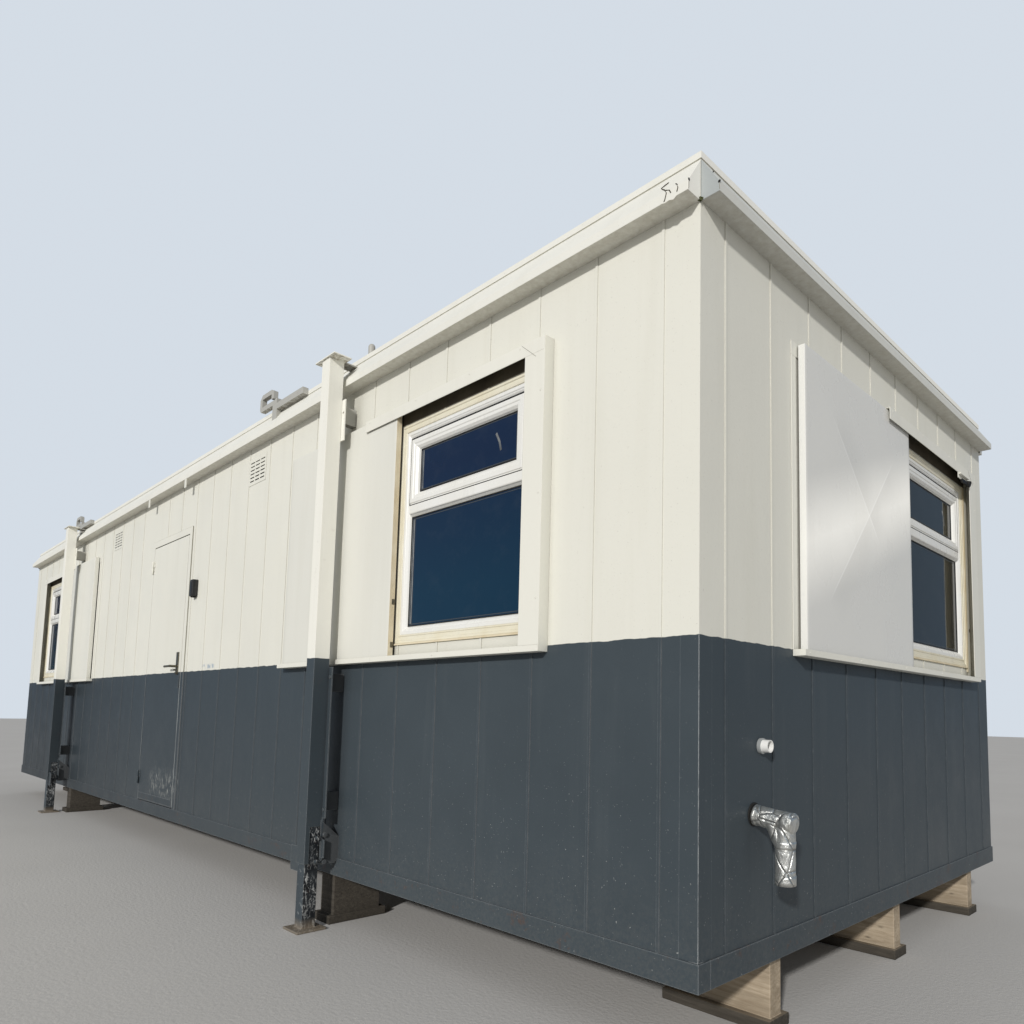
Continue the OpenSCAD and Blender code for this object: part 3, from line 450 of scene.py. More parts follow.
def foil(name):
    """Aluminium tape wound on lagging: creased, with painted light and shade on its crumples and painted
    shade along its folds.
    """
    n = Nodes(name)
    crease = n.cells(16, "DISTANCE_TO_EDGE", stretch=(1.0, 1.0, 0.7))
    crumple = n.noise(24, 6, 0.65, distortion=1.2)
    # Painted light and shade on the crumples, and painted shade along the folds
    shade = n.mix(n.ramp(crumple, 0.35, 0.7), (0.84, 0.84, 0.8), (0.5, 0.5, 0.47))
    shade = n.mix(n.ramp(crease, 0.03, 0.0, 0.0, 0.6), shade, (0.16, 0.16, 0.16))
    height = n.plus(crumple, n.times(n.ramp(crease, 0.0, 0.06), 0.5))
    return n.finish(shade, n.ramp(crumple, 0.3, 0.7, 0.26, 0.48), 0.85, n.bump(height, 0.006))


def board(name, light, dark, rough):
    n = Nodes(name)
    blotch = n.noise(1.4, 5, 0.6)
    grain = n.noise(90, 3)
    shade = n.mix(n.ramp(blotch, 0.35, 0.7), light, dark)
    shade = n.mix(n.times(n.ramp(grain, 0.55, 0.75), 0.18), shade, GRIME)
    shade = n.mix(n.times(n.edges(0.01), 0.3), shade, scaled(dark, 0.6))
    return n.finish(shade, n.ramp(blotch, 0.3, 0.7, rough, rough + 0.15), 0.0, n.bump(grain, 0.0006), 0.3)


# These paints carry painted shade in their crevices; the wall and door paints also painted light on the rib
# flanks, the leg paint painted shade behind its back plates
WALL = paint("wall_paint", flank_light=0.55, dark=0.7, reach=0.2)
END_WALL = paint("end_wall_paint", wear=0.6, dark=0.7, reach=0.14)
CORNER = paint("corner_paint", wear=1.9, edge_tone=(0.5, 0.52, 0.53), outer=True)
TRIM = paint("trim_paint", wear=1.3, wave=0.4)
LEG = paint("leg_paint", upper=(0.93, 0.92, 0.845), wear=1.6, rust=0.08, wave=0.2, edge_tone=BARE_AND_LIT_TONE,
            under=0.75, dark=0.25, behind=0.55)
# Wear of the rail paints, with painted shade in their crevices and on the soffits
RAIL_WEAR_AND_SHADE = {"wear": 0.6, "rust": 0.03, "rough": 0.5, "dark": 0.15, "under": 0.5, "mottle": (0.1, 0.75)}
# Long rails and roof: faces turned to +x painted lighter, as painted light
ROOF = paint("roof_paint", upper=(0.86, 0.855, 0.79), **RAIL_WEAR_AND_SHADE,
             painted_facing_light=((1, 0, 0), (0.98, 0.972, 0.91)))
# End rails: the rail paint made darker and bluer as painted shade, their faces turned to -y darker still
ROOF_END_SHADED = paint("roof_end_paint_shaded", upper=(0.72, 0.728, 0.69), **RAIL_WEAR_AND_SHADE,
                 painted_facing_light=((0, -1, 0), (0.42, 0.45, 0.45)))
DOOR = paint("door_paint", wear=1.5, wave=0.5, edge_tone=BARE_AND_LIT_TONE, flank_light=0.8)
TRACK = paint("track_paint", False, (0.85, 0.842, 0.765), SLATE, wear=1.4, wave=0.3)
SHUTTER = paint("shutter_paint", False, (0.8, 0.795, 0.728), SLATE, wave=0.3, rough=0.34)
# The end shutter: a painted sheen along its bulge, and painted highlights and shade along its folds
SHEEN = paint("creased_paint_with_sheen", False, (0.92, 0.92, 0.885), SLATE, wave=0.3, rough=0.28,
              band=(-0.874, 1.715, 0.38, 0.27),
              folds=(((0.0, 2.259), (-0.693, 1.509)), ((-0.647, 2.286), (-0.174, 1.817))))
TAN = plastic("bare_edge", (0.83, 0.75, 0.57), (0.6, 0.48, 0.28), 0.6, 0.6, 0.2)
SPACER = plastic("spacer_bar", (0.06, 0.07, 0.08), (0.035, 0.042, 0.05), 0.4, 0.5, 0.3)
GLINT = plastic("bar_glint", (0.34, 0.35, 0.35), (0.06, 0.07, 0.08), 0.4, 0.95, 0.3)
WORN = plastic("worn_edge", (0.4, 0.42, 0.42), (0.16, 0.17, 0.175), 0.5, 0.9, 0.2)
LINE = plastic("paint_line", (0.33, 0.32, 0.27), (0.2, 0.19, 0.15), 0.6, 0.6, 0.15)
# Dark sheet: painted shadow at the window heads and beside the near window; also the crack's colour
SHADOW = plastic("head_shadow", (0.08, 0.066, 0.044), (0.035, 0.029, 0.02), 0.7, 0.7, 0.15)
BASE = paint("base_paint", False, SLATE, SLATE, wear=1.7, rust=0.35, rough=0.45, edge_tone=BARE_AND_LIT_TONE)
UPVC = plastic("upvc_white", (0.88, 0.88, 0.85), (0.8, 0.78, 0.69), 0.22, 0.35)
UPVC_AGED = plastic("upvc_aged", (0.86, 0.825, 0.68), (0.74, 0.66, 0.45), 0.34, 0.5,
                    edge_tone=(0.24, 0.17, 0.08), edge=0.55)
RUBBER = plastic("black_rubber", (0.012, 0.012, 0.012), (0.04, 0.038, 0.034), 0.55, 0.6, 0.25)
BLACK = plastic("black_plastic", (0.01, 0.01, 0.011), (0.03, 0.03, 0.032), 0.3, 0.5)
LENS = plastic("lamp_lens", (0.3, 0.31, 0.31), (0.16, 0.165, 0.165), 0.12, 0.5)
PVC = plastic("waste_pvc", (0.9, 0.9, 0.88), (0.78, 0.77, 0.72), 0.25, 0.4)
STEEL = bare_metal("satin_steel", (0.21, 0.19, 0.145), 0.36, 0.6)
GLASS = glass("window_glass")
FOIL = foil("foil_tape")
FLAKE = flaking("flaking_steel")
PACK = timber("pack_timber", (0.56, 0.47, 0.35), (0.36, 0.285, 0.2))
FLOOR_BOARD = board("floor_board", (0.3, 0.27, 0.23), (0.21, 0.19, 0.165), 0.55)
CEILING_BOARD = board("ceiling_board", (0.8, 0.79, 0.74), (0.74, 0.725, 0.67), 0.7)


def circle(centre, side, other, radius, sides, flat=1.0):
    turns = [2 * math.pi * i / sides for i in range(sides)]
    return [centre + radius * (math.cos(a) * side + flat * math.sin(a) * other) for a in turns]


def square_to(along):
    """Two directions that are square to one and to each other."""
    side = along.orthogonal().normalized()
    return side, along.cross(side)


def placed(name, data):
    made = bpy.data.objects.new(name, data)
    bpy.context.scene.collection.objects.link(made)
    return made


class Shape:
    """Collects closed solids, drawn at a place, into one piece."""

    def __init__(self, place=None):
        self.mesh = bmesh.new()
        self.place = place or Matrix.Identity(4)

    def bridge(self, a, b):
        for i in range(len(a)):
            j = (i + 1) % len(a)
            self.mesh.faces.new((a[i], a[j], b[j], b[i]))

    def loft(self, rings, closed=False):
        made = [[self.mesh.verts.new(self.place @ Vector(p)) for p in ring] for ring in rings]
        for a, b in zip(made, made[1:]):
            self.bridge(a, b)
        if closed:
            self.bridge(made[-1], made[0])
        else:
            self.mesh.faces.new(made[0][::-1])
            self.mesh.faces.new(made[-1])
        return self

    def box(self, low, high):
        (x0, y0, z0), (x1, y1, z1) = low, high
        return self.loft([[(x0, y0, z), (x1, y0, z), (x1, y1, z), (x0, y1, z)] for z in (z0, z1)])

    def prism(self, outline, axis, a, b):
        """outline's two numbers are the other two axes, in order."""
        rings = []
        for at in (a, b):
            ring = [list(point) for point in outline]
            for point in ring:
                point.insert(axis, at)
            rings.append(ring)
        return self.loft(rings)

    def rod(self, start, end, radius, sides=24):
        start, end = Vector(start), Vector(end)
        side, other = square_to((end - start).normalized())
        return self.loft([circle(at, side, other, radius, sides) for at in (start, end)])

    def dome(self, centre, radius, height, sides, normal=(0, -1, 0)):
        """A rounded head, such as a bolt's or a rivet's."""
        along = Vector(normal).normalized()
        side, other = square_to(along)
        rings = []
        for share in (0.0, 0.45, 0.75, 0.95):
            at = Vector(centre) + along * (height * math.sin(share * math.pi / 2))
            rings.append(circle(at, side, other, radius * math.cos(share * math.pi / 2), sides))
        return self.loft(rings)

    def ring(self, x0, x1, z0, z1, profile):
        """A mitred frame round a rectangle: profile is (distance in from the edge, depth)."""
        corners = []
        for sx, sz in ((0, 0), (1, 0), (1, 1), (0, 1)):
            corners.append([(x1 - u if sx else x0 + u, d, z1 - u if sz else z0 + u) for u, d in profile])
        return self.loft(corners, closed=True)

    def tube(self, path, radius, sides=12, flat=1.0):
        path = [Vector(p) for p in path]
        rings = []
        for i, p in enumerate(path):
            along = (path[min(i + 1, len(path) - 1)] - path[max(i - 1, 0)]).normalized()
            up = Vector((0, 1, 0)) if abs(along.y) < 0.9 else Vector((0, 0, 1))
            side = along.cross(up).normalized()
            rings.append(circle(p, side, side.cross(along), radius, sides, flat))
        return self.loft(rings)

    def link(self, name, material):
        bmesh.ops.recalc_face_normals(self.mesh, faces=self.mesh.faces)
        data = bpy.data.meshes.new(name)
        self.mesh.to_mesh(data)
        self.mesh.free()
        data.materials.append(material)
        return placed(name, data)

    def done(self, name, material, slot, body="cabin", bevel=0.0, smooth=False, replaces=()):
        piece = self.link(name, material)
        if bevel:
            add_bevel(piece, bevel)
        if smooth:
            piece.data.polygons.foreach_set("use_smooth", [True] * len(piece.data.polygons))
        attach(piece, body)
        if replaces:
            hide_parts(*replaces)
        return piece


def add_bevel(piece, width, angle=35):
    rounded = piece.modifiers.new("rounded", "BEVEL")
    rounded.width = width
    rounded.segments = 2
    rounded.limit_method = "ANGLE"
    rounded.angle_limit = math.radians(angle)


def soften(width, *names):
    """Rounds the edges of CAD nodes, whose meshes stay as they are."""
    for name in names:
        piece = nodes[name]
        weld = piece.modifiers.new("weld", "WELD")
        weld.merge_threshold = 0.00002
        flat = piece.modifiers.new("flat", "DECIMATE")
        flat.decimate_type = "DISSOLVE"
        flat.angle_limit = math.radians(1)
        add_bevel(piece, width)


def cover(material, *names):
    for name in names:
        data = nodes[name].data
        data.materials.clear()
        data.materials.append(material)


# Finishes of the fixed frame
BASE_RAILS = ("base_rails_long", "base_rails_end")
LONG_RAILS = ("roof_rail_front", "roof_rail_back")
END_RAILS = ("roof_rail_near", "roof_rail_far")
TRACKS = ("shutter_tracks_upper", "shutter_tracks_lower", "shutter_stops")
LEGS = {"front_near": front(LEG_X), "front_far": front(-LEG_X, True), "back_near": back(LEG_X),
        "back_far": back(-LEG_X, True)}
INNER_LEGS = [f"inner_leg_{name}" for name in LEGS]
cover(BASE, *BASE_RAILS, "floor_joists")
cover(FLOOR_BOARD, "floor_deck")
cover(CEILING_BOARD, "ceiling")
cover(WALL, "front_wall_near", "front_wall_far", "front_wall_over_door", "back_wall")
cover(END_WALL, "end_wall_near", "end_wall_far")
cover(CORNER, "corner_posts")
cover(ROOF, "roof_beams", "roof_sheet", *LONG_RAILS)
cover(ROOF_END_SHADED, *END_RAILS)
cover(DOOR, "door_frame", "door_leaf")
cover(TRIM, "door_hinges_frame", "door_hinges_leaf", "wall_vents", "soffit_straps")
cover(STEEL, "door_handle_plate", "door_lever")
cover(UPVC, "window_frames", "window_sashes")
cover(GLASS, "window_glass")
cover(SHUTTER, "shutter_near", "shutter_far", "shutter_end")
cover(TRACK, *TRACKS)
cover(LEG, "jackleg_tubes", "jackleg_caps", "jackleg_brackets", "lifting_lugs", "roof_pegs")
cover(FLAKE, *INNER_LEGS)
cover(PVC, "waste_stub")
cover(FOIL, "lagged_pipe")
cover(PACK, "timber_packs")
cover(BLACK, "door_light")
soften(0.0015, *BASE_RAILS, "door_frame", "door_leaf", "door_handle_plate")
soften(0.0012, *TRACKS, "door_hinges_frame", "door_hinges_leaf", "soffit_straps", "wall_vents",
       "jackleg_brackets")
soften(0.003, "timber_packs", "lifting_lugs", "jackleg_caps")
soften(0.008, "jackleg_tubes")
soften(0.006, *INNER_LEGS)
soften(0.0014, *LONG_RAILS, *END_RAILS)

# Windows: aged outer frames, white inner frames with a transom, white opening sashes, seals
WINDOWS = {"near": front(WIN_X), "far": front(-WIN_X, True), "end": near(END_Y)}
FRAME_OUT = WIN_IN + WIN_DEPTH
SASH_OUT = SASH_Y + SASH_T
HALF_WIN = WIN_W / 2
HALF_PANE = PANE_W / 2
HALF_LIGHT = HALF_PANE - SASH_FACE - 0.003
WIN_TOP = WIN_Z + WIN_H
LOW_BOTTOM = WIN_Z + WIN_FACE
TRANSOM_Z = LOW_BOTTOM + LOW_OPEN
SASH_Z = TRANSOM_Z + TRANSOM
SASH_TOP = SASH_Z + TOP_OPEN
TOP_LOW = SASH_Z + SASH_FACE
TOP_HIGH = SASH_TOP - SASH_FACE
SEAL = 0.005

# Sections of the frame's parts, as (distance in from the edge, depth)
OUTER = [(0.0, FRAME_OUT), (0.0, 0.0015), (0.0015, 0.0), (0.012, 0.0), (0.014, 0.003), (0.03, 0.003),
         (0.032, 0.001), (0.037, 0.001), (0.039, 0.003), (0.039, FRAME_OUT)]
INNER = [(0.039, FRAME_OUT), (0.039, 0.006), (0.041, 0.004), (0.055, 0.004), (0.058, 0.007), (0.062, 0.008),
         (0.071, 0.014), (0.077, 0.022), (0.078, GLASS_Y), (0.078, FRAME_OUT)]
SASH = [(0.0, SASH_OUT), (0.0, 0.0025), (0.0025, 0.0), (0.02, 0.0), (0.024, 0.003), (0.036, 0.004),
        (0.046, 0.012), (0.051, 0.021), (0.052, GLASS_Y), (0.052, SASH_OUT)]
STRIP = [(0.0, GLASS_Y + 0.001), (0.0, 0.0205), (SEAL, 0.0225), (SEAL, GLASS_Y + 0.001)]
GAP = [(-0.004, 0.03), (-0.004, 0.005), (0.0048, 0.005), (0.0048, 0.03)]
EDGE_BAR = [(0.009, GLASS_Y + 0.0005), (0.009, GLASS_Y - 0.0004), (0.013, GLASS_Y - 0.0004),
            (0.013, GLASS_Y + 0.0005)]

# The transom's section, as (depth, height), and the stay of the opening light
CROSS = [(FRAME_OUT, 0.0), (GLASS_Y, 0.0), (0.022, 0.001), (0.012, 0.009), (0.006, 0.012), (0.004, 0.016),
         (0.004, TRANSOM - 0.01), (0.008, TRANSOM - 0.004), (0.01, TRANSOM), (FRAME_OUT, TRANSOM)]
STAY = [(0.2, GLASS_Y, 1.985), (0.222, GLASS_Y, 1.945), (0.233, GLASS_Y, 1.905)]
for name, place in WINDOWS.items():
    outer = Shape(place).ring(-HALF_WIN, HALF_WIN, WIN_Z, WIN_TOP, OUTER)
    outer.done(f"window_frame_{name}", UPVC_AGED, "white_plastic", replaces=("window_frames",))
    bead = Shape(place).ring(-HALF_WIN, HALF_WIN, WIN_Z, WIN_TOP, INNER)
    bead.prism([(y, TRANSOM_Z + z) for y, z in CROSS], 0, -HALF_PANE, HALF_PANE)
    bead.done(f"window_bead_{name}", UPVC, "white_plastic")
    sash = Shape(place).ring(-HALF_PANE + 0.005, HALF_PANE - 0.005, SASH_Z + 0.0006, SASH_TOP - 0.005, SASH)
    sash.done(f"window_sash_{name}", UPVC, "white_plastic", replaces=("window_sashes",))
    seal = Shape(place)
    seal.ring(-HALF_PANE - 0.0005, HALF_PANE + 0.0005, LOW_BOTTOM - 0.0005, TRANSOM_Z + 0.0005, STRIP)
    seal.ring(-HALF_LIGHT, HALF_LIGHT, TOP_LOW + 0.003, TOP_HIGH - 0.003, STRIP)
    seal.ring(-HALF_PANE, HALF_PANE, SASH_Z - 0.004, SASH_TOP, GAP)
    seal.done(f"window_seal_{name}", RUBBER, "black_plastic")
    bar = Shape(place)
    bar.box((-HALF_PANE + 0.006, 0.0036, SASH_Z - 0.0046), (HALF_PANE - 0.006, 0.008, SASH_Z + 0.0052))
    bar.done(f"window_weather_bar_{name}", UPVC, "white_plastic", bevel=0.0006)
    spacer = Shape(place).ring(-HALF_PANE, HALF_PANE, LOW_BOTTOM, TRANSOM_Z, EDGE_BAR)
    spacer.ring(-HALF_LIGHT, HALF_LIGHT, TOP_LOW, TOP_HIGH, EDGE_BAR)
    spacer.done(f"window_spacer_{name}", SPACER, "white_plastic")
    glint = Shape(place)
    for edge, z0, z1 in ((-HALF_PANE, LOW_BOTTOM, TRANSOM_Z), (-HALF_LIGHT, TOP_LOW, TOP_HIGH)):
        for offset, wide in ((0.0045, 0.003), (0.0155, 0.006)):
            x = edge + offset
            glint.box((x, GLASS_Y - 0.0005, z0 + 0.013), (x + wide, GLASS_Y, z1 - 0.013))
    glint.done(f"window_glint_{name}", GLINT, "white_plastic")
    stay = Shape(place).tube(STAY, 0.006, 10, 0.1)
    stay.done(f"window_stay_{name}", GLINT, "white_plastic", smooth=True)

# Shutters: sheets pressed to a low pyramid, creased between opposite corners, with folded edges
PRESS_DEPTH = {"near": 0.0022, "far": 0.0022, "end": 0.0065}
PEAK_U, PEAK_V = 0.53, 0.51
CREASE = 14
COLS, ROWS = 60, 66


def pressed(u, v, deep):
    """How far the sheet lies behind its peak at (u, v), shares of its width and height."""
    side, end = abs(u - PEAK_U) / PEAK_U, abs(v - PEAK_V) / PEAK_V
    rise = (side ** CREASE + end ** CREASE) ** (1 / CREASE)
    dents = noise.noise(Vector((u * 2.6, v * 2.6, deep * 1000)))
    return deep * min(rise, 1.0) + 0.0012 * max(dents, 0.0)


for name, place in WINDOWS.items():
    piece = Shape(place)
    grid = []
    for j in range(ROWS + 1):
        line = []
        for i in range(COLS + 1):
            u, v = i / COLS, j / ROWS
            depth = SHUT_Y + pressed(u, v, PRESS_DEPTH[name])
            point = Vector((-SHUT_REST - SHUT_W + SHUT_W * u, depth, SHUT_Z + SHUT_H * v))
            line.append(piece.mesh.verts.new(place @ point))
        grid.append(line)
    for j in range(ROWS):
        for i in range(COLS):
            piece.mesh.faces.new((grid[j][i], grid[j][i + 1], grid[j + 1][i + 1], grid[j + 1][i]))
    rim = grid[0] + [grid[j][COLS] for j in range(1, ROWS + 1)]
    rim += grid[ROWS][COLS - 1::-1] + [grid[j][0] for j in range(ROWS - 1, 0, -1)]
    back_rim = []
    for v in rim:
        local = place.inverted() @ v.co
        back_rim.append(piece.mesh.verts.new(place @ Vector((local.x, SHUT_Y + SHUT_T - 0.0005, local.z))))
    piece.bridge(rim, back_rim)
    sheet = piece.done(f"shutter_sheet_{name}", SHEEN if name == "end" else SHUTTER, "shutter_steel",
                       f"shutter_{name}", replaces=(f"shutter_{name}",))
    thick = sheet.modifiers.new("thick", "SOLIDIFY")
    thick.thickness = 0.002
    thick.offset = -1 if name != "far" else 1
    add_bevel(sheet, 0.003, 50)
    for polygon in sheet.data.polygons:
        polygon.use_smooth = polygon.index < COLS * ROWS

# Foil-wrapped pipe on the near end: an arm out of the wall, an elbow and a drop
START = Vector((0.322, 0.0, 0.498))
ELBOW = Vector((0.322, -0.114, 0.485))
LOW_END = Vector((0.322, -0.114, 0.287))
OUTWARD = (ELBOW - START).normalized()
PIPE_R = 0.0335
PIPE_SIDES = 40
PIPE_STEPS = 44
ARM_PAST = 0.03


def lumpy(start, end, radius, steps, seed):
    """Rings of a wrapped pipe whose radius wanders, kept outside the wall."""
    along = (end - start).normalized()
    side = Vector((1, 0, 0))
    other = along.cross(side)
    rings = []
    for k in range(steps + 1):
        t = k / steps
        centre = start.lerp(end, t)
        ring = []
        for i in range(PIPE_SIDES):
            a = 2 * math.pi * i / PIPE_SIDES
            c, s = math.cos(a), math.sin(a)
            bump = noise.noise(Vector((c * 1.6, s * 1.6, t * 5 + seed)))
            fold = abs(noise.noise(Vector((c * 4, s * 4, t * 14 + seed))))
            ring.append(centre + (c * side + s * other) * radius * (1 + 0.045 * bump - 0.06 * fold))
        rings.append(ring)
    return rings


arm = lumpy(START + OUTWARD * 0.007, ELBOW + OUTWARD * ARM_PAST, PIPE_R, PIPE_STEPS, 1.0)
arm_end = arm[-1]
for further, share in ((0.0335, 0.93), (0.0355, 0.8), (0.0362, 0.45)):
    middle = ELBOW + OUTWARD * further
    arm.append([middle + (point - ELBOW - OUTWARD * ARM_PAST) * share for point in arm_end])
gusset_start = START.lerp(ELBOW, 0.62) - Vector((0, 0, 0.006))
gusset_end = ELBOW.lerp(LOW_END, 0.38) + Vector((0, 0.004, 0))
pipe = Shape(near(-HALF_W)).loft(arm)
pipe.loft(lumpy(ELBOW, LOW_END, PIPE_R * 0.98, PIPE_STEPS, 5.0))
pipe.loft(lumpy(gusset_start, gusset_end, 0.03, 20, 3.0))
pipe.done("pipe_wrapping", FOIL, "silver_foil", smooth=True, replaces=("lagged_pipe",))
# A black collar where the arm leaves the wall, also painted shade in the gap behind the foil's end
collar = Shape(near(-HALF_W))
collar.rod((START.x, -0.0004, START.z), (START.x, -0.004, START.z), 0.039, 40)
collar.rod((START.x, -0.003, START.z), (START.x, -0.009, START.z - 0.001), 0.027, 32)
collar.done("pipe_collar_and_shade", RUBBER, "black_plastic", bevel=0.0008)

# Door light: a rounded black box with a small block under it, and a lens on the side towards the door
LIGHT_X = DOOR_R + 0.138
LIGHT_Z = 1.667
SHELL = [(-0.028, 0.0), (-0.03, -0.012), (-0.026, -0.034), (-0.014, -0.043), (0.016, -0.044),
         (0.027, -0.037), (0.03, -0.02), (0.029, 0.0)]
LEVELS = ((-0.056, 0.9), (-0.058, 0.97), (-0.045, 1.0), (0.048, 1.0), (0.06, 0.93), (0.064, 0.8))
SENSOR = [(-0.024, -0.03), (-0.006, -0.036), (-0.006, 0.0), (-0.024, 0.0)]
LENS_SIDE = [(-0.0302, -0.004), (-0.0305, -0.014), (-0.0262, -0.0348), (-0.024, -0.033), (-0.027, -0.004)]
lamp = Shape(front(LIGHT_X))
lamp.loft([[(x * share, y * share, LIGHT_Z + z) for x, y in SHELL] for z, share in LEVELS])
lamp.prism(SENSOR, 2, LIGHT_Z - 0.064, LIGHT_Z - 0.05)
lamp.done("door_light_body", BLACK, "black_plastic", bevel=0.002, replaces=("door_light",))
lens = Shape(front(LIGHT_X)).prism(LENS_SIDE, 2, LIGHT_Z - 0.034, LIGHT_Z + 0.04)
lens.done("door_light_lens", LENS, "white_plastic", bevel=0.0006)
screws = Shape(front(LIGHT_X))
for z in (-0.04, 0.046):
    screws.dome((0.012, -0.0435, LIGHT_Z + z), 0.0035, 0.0012, 12)
screws.done("door_light_screws", STEEL, "satin_metal", smooth=True)

# Dark sheets over the window heads as painted shadow under the tracks, linings beside the frames (painted
# shadow at the near window, tan at the others), trim below them
LINING_R = TRACK_R - STOP_BOX / 2 - 0.002
for name, place in WINDOWS.items():
    head = Shape(place)
    head.box((-HALF_WIN - 0.002, -0.0035, WIN_TOP + 0.001), (LINING_R, -0.0031, TRACK_TOP - 0.004))
    head.done(f"window_head_board_{name}", SHADOW, "timber")
    # Linings: painted shadow at the near window, tan at the others
    lining_l = HALF_WIN + 0.002 if name == "end" else LINING_R - 0.014
    lining = Shape(place).box((lining_l, -0.0034, WIN_Z - 0.03), (LINING_R, 0.0, WIN_TOP + 0.001))
    lining.done(f"window_lining_{name}", SHADOW if name == "near" else TAN, "timber")
    sill = Shape(place)
    sill.box((-HALF_WIN - 0.004, -0.0075, WIN_Z - 0.009), (HALF_WIN + 0.004, -0.0005, WIN_Z - 0.001))
    sill.done(f"window_sill_trim_{name}", TAN, "timber", bevel=0.0008)

# Edges of the shutters that lost their paint, a black strip behind each edge as painted shadow, and their
# latches
EDGE_X = -SHUT_REST
EDGE_LOW, EDGE_HIGH = SHUT_Z + 0.004, SHUT_Z + SHUT_H - 0.004
SHUT_BACK = SHUT_Y + SHUT_T
for name, place in WINDOWS.items():
    if name != "end":
        edge = Shape(place)
        edge.box((EDGE_X - 0.0002, SHUT_Y + 0.003, EDGE_LOW), (EDGE_X + 0.0008, SHUT_BACK - 0.001, EDGE_HIGH))
        edge.done(f"shutter_bare_edge_{name}", TAN, "timber", f"shutter_{name}")
    # A black strip behind the edge: painted shadow
    fold = Shape(place)
    fold.box((EDGE_X - 0.0004, SHUT_BACK - 0.005, EDGE_LOW), (EDGE_X + 0.0012, SHUT_BACK - 0.0004, EDGE_HIGH))
    fold.done(f"shutter_edge_shadow_{name}", RUBBER, "black_plastic", f"shutter_{name}")
    latch = Shape(place)
    for z in (SHUT_Z + 0.272, SHUT_Z + 0.07):
        latch.box((EDGE_X, SHUT_Y + 0.014, z - 0.013), (EDGE_X + 0.0022, SHUT_Y + 0.03, z + 0.013))
        latch.rod((EDGE_X, SHUT_Y + 0.022, z), (EDGE_X + 0.0038, SHUT_Y + 0.022, z), 0.005, 12)
    latch.done(f"shutter_latch_{name}", STEEL, "satin_metal", f"shutter_{name}", bevel=0.0006)

# Tracks: a mitred seam and rivets on their fronts, and a bolt in the stop's back plate
SEAM_Y = -TRACK_D - 0.0002
SEAM_W = Vector((0.0005, 0, 0.0006))
RAISE = Vector((0, -0.0004, 0))
RIVETS = [(x, TRACK_TOP - 0.012) for x in (-0.7, -0.3, 0.1, 0.42)]
RIVETS += [(x, TRACK_Z + 0.012) for x in (-1.56, -1.1, -0.6, -0.1, 0.4)]
RIVETS += [(TRACK_R - 0.02, TRACK_Z + z) for z in (0.2, 0.6, 1.0)]
BOLT_X, BOLT_Z = TRACK_R - 0.024, WIN_Z + 0.213
for name, place in WINDOWS.items():
    ends = Vector((0.431, SEAM_Y, TRACK_TOP - 0.003)), Vector((0.514, SEAM_Y, TRACK_TOP - 0.072))
    seam = Shape(place).loft([[p - SEAM_W, p + SEAM_W, p + SEAM_W + RAISE, p - SEAM_W + RAISE] for p in ends])
    seam.done(f"track_seam_{name}", LINE, "cream_steel")
    rivets = Shape(place)
    for x, z in RIVETS:
        rivets.dome((x, -TRACK_D, z), 0.0042, 0.0016, 12)
    rivets.done(f"track_rivets_{name}", TRACK, "cream_steel", smooth=True)
    bolt = Shape(place)
    bolt.rod((BOLT_X, -0.003, BOLT_Z), (BOLT_X, -0.0045, BOLT_Z), 0.011, 20)
    bolt.dome((BOLT_X, -0.0045, BOLT_Z), 0.005, 0.0014, 12)
    bolt.done(f"stop_bolt_{name}", STEEL, "satin_metal")

# Catch on the end window's track, with its knob
CATCH_Z = TRACK_TOP - 0.056
catch = Shape(near(END_Y))
catch.box((0.25, -TRACK_D - 0.001, CATCH_Z - 0.03), (0.447, -0.047, CATCH_Z))
catch.box((0.25, -TRACK_D - 0.015, CATCH_Z - 0.012), (0.4, -TRACK_D, CATCH_Z - 0.004))
catch.done("track_catch_end", TRACK, "cream_steel", bevel=0.001)
knob = Shape(near(END_Y))
knob.rod((0.41, -0.047, CATCH_Z - 0.03), (0.41, -TRACK_D - 0.016, CATCH_Z - 0.036), 0.018)
knob.box((0.3, -TRACK_D - 0.008, CATCH_Z - 0.046), (0.405, -0.047, CATCH_Z - 0.026))
knob.done("track_catch_knob", RUBBER, "black_plastic", bevel=0.001)

# Door: a dark line round the frame as painted shadow in its joint, seal, kick strip, worn jambs, cylinder and
# thumb turn, latch box, screws
SPLIT = PAINT_Z - CLEAR
FRAME_TOP = 2.15
LEAF_LOW = 0.093
PLATE_Y = LEAF_Y - 0.008
# A dark line round the frame's outer edge: painted shadow in its joint
outline = Shape(front())
for x in (DOOR_L - 0.002, DOOR_R):
    outline.box((x, -0.006, SPLIT + 0.001), (x + 0.002, 0.001, FRAME_TOP))
outline.box((DOOR_L - 0.002, -0.006, FRAME_TOP), (DOOR_R + 0.002, 0.001, FRAME_TOP + 0.0015))
outline.done("door_outline_shadow", LINE, "cream_steel")
seal = Shape(front())
seal.ring(LEAF_L - 0.004, LEAF_R + 0.004, LEAF_LOW - 0.004, LEAF_TOP + 0.004,
          [(0.0, 0.012), (0.0, -0.004), (0.003, -0.004), (0.003, 0.012)])
seal.done("door_seal", RUBBER, "black_plastic")
strip = Shape(front()).box((LEAF_L + 0.012, LEAF_Y - 0.0022, 0.1), (LEAF_R - 0.012, LEAF_Y + 0.0002, 0.148))
strip.done("door_kick_strip", BASE, "slate_steel", "door", bevel=0.0008)
jamb = Shape(front())
jamb.box((LEAF_R + 0.0055, -0.0092, 0.1), (LEAF_R + 0.0115, -0.0078, SPLIT))
jamb.box((LEAF_L - 0.0085, -0.009, 0.38), (LEAF_L - 0.005, -0.0078, SPLIT - 0.02))
jamb.done("door_worn_jamb", WORN, "slate_steel")
lock = Shape(front(HANDLE_X))
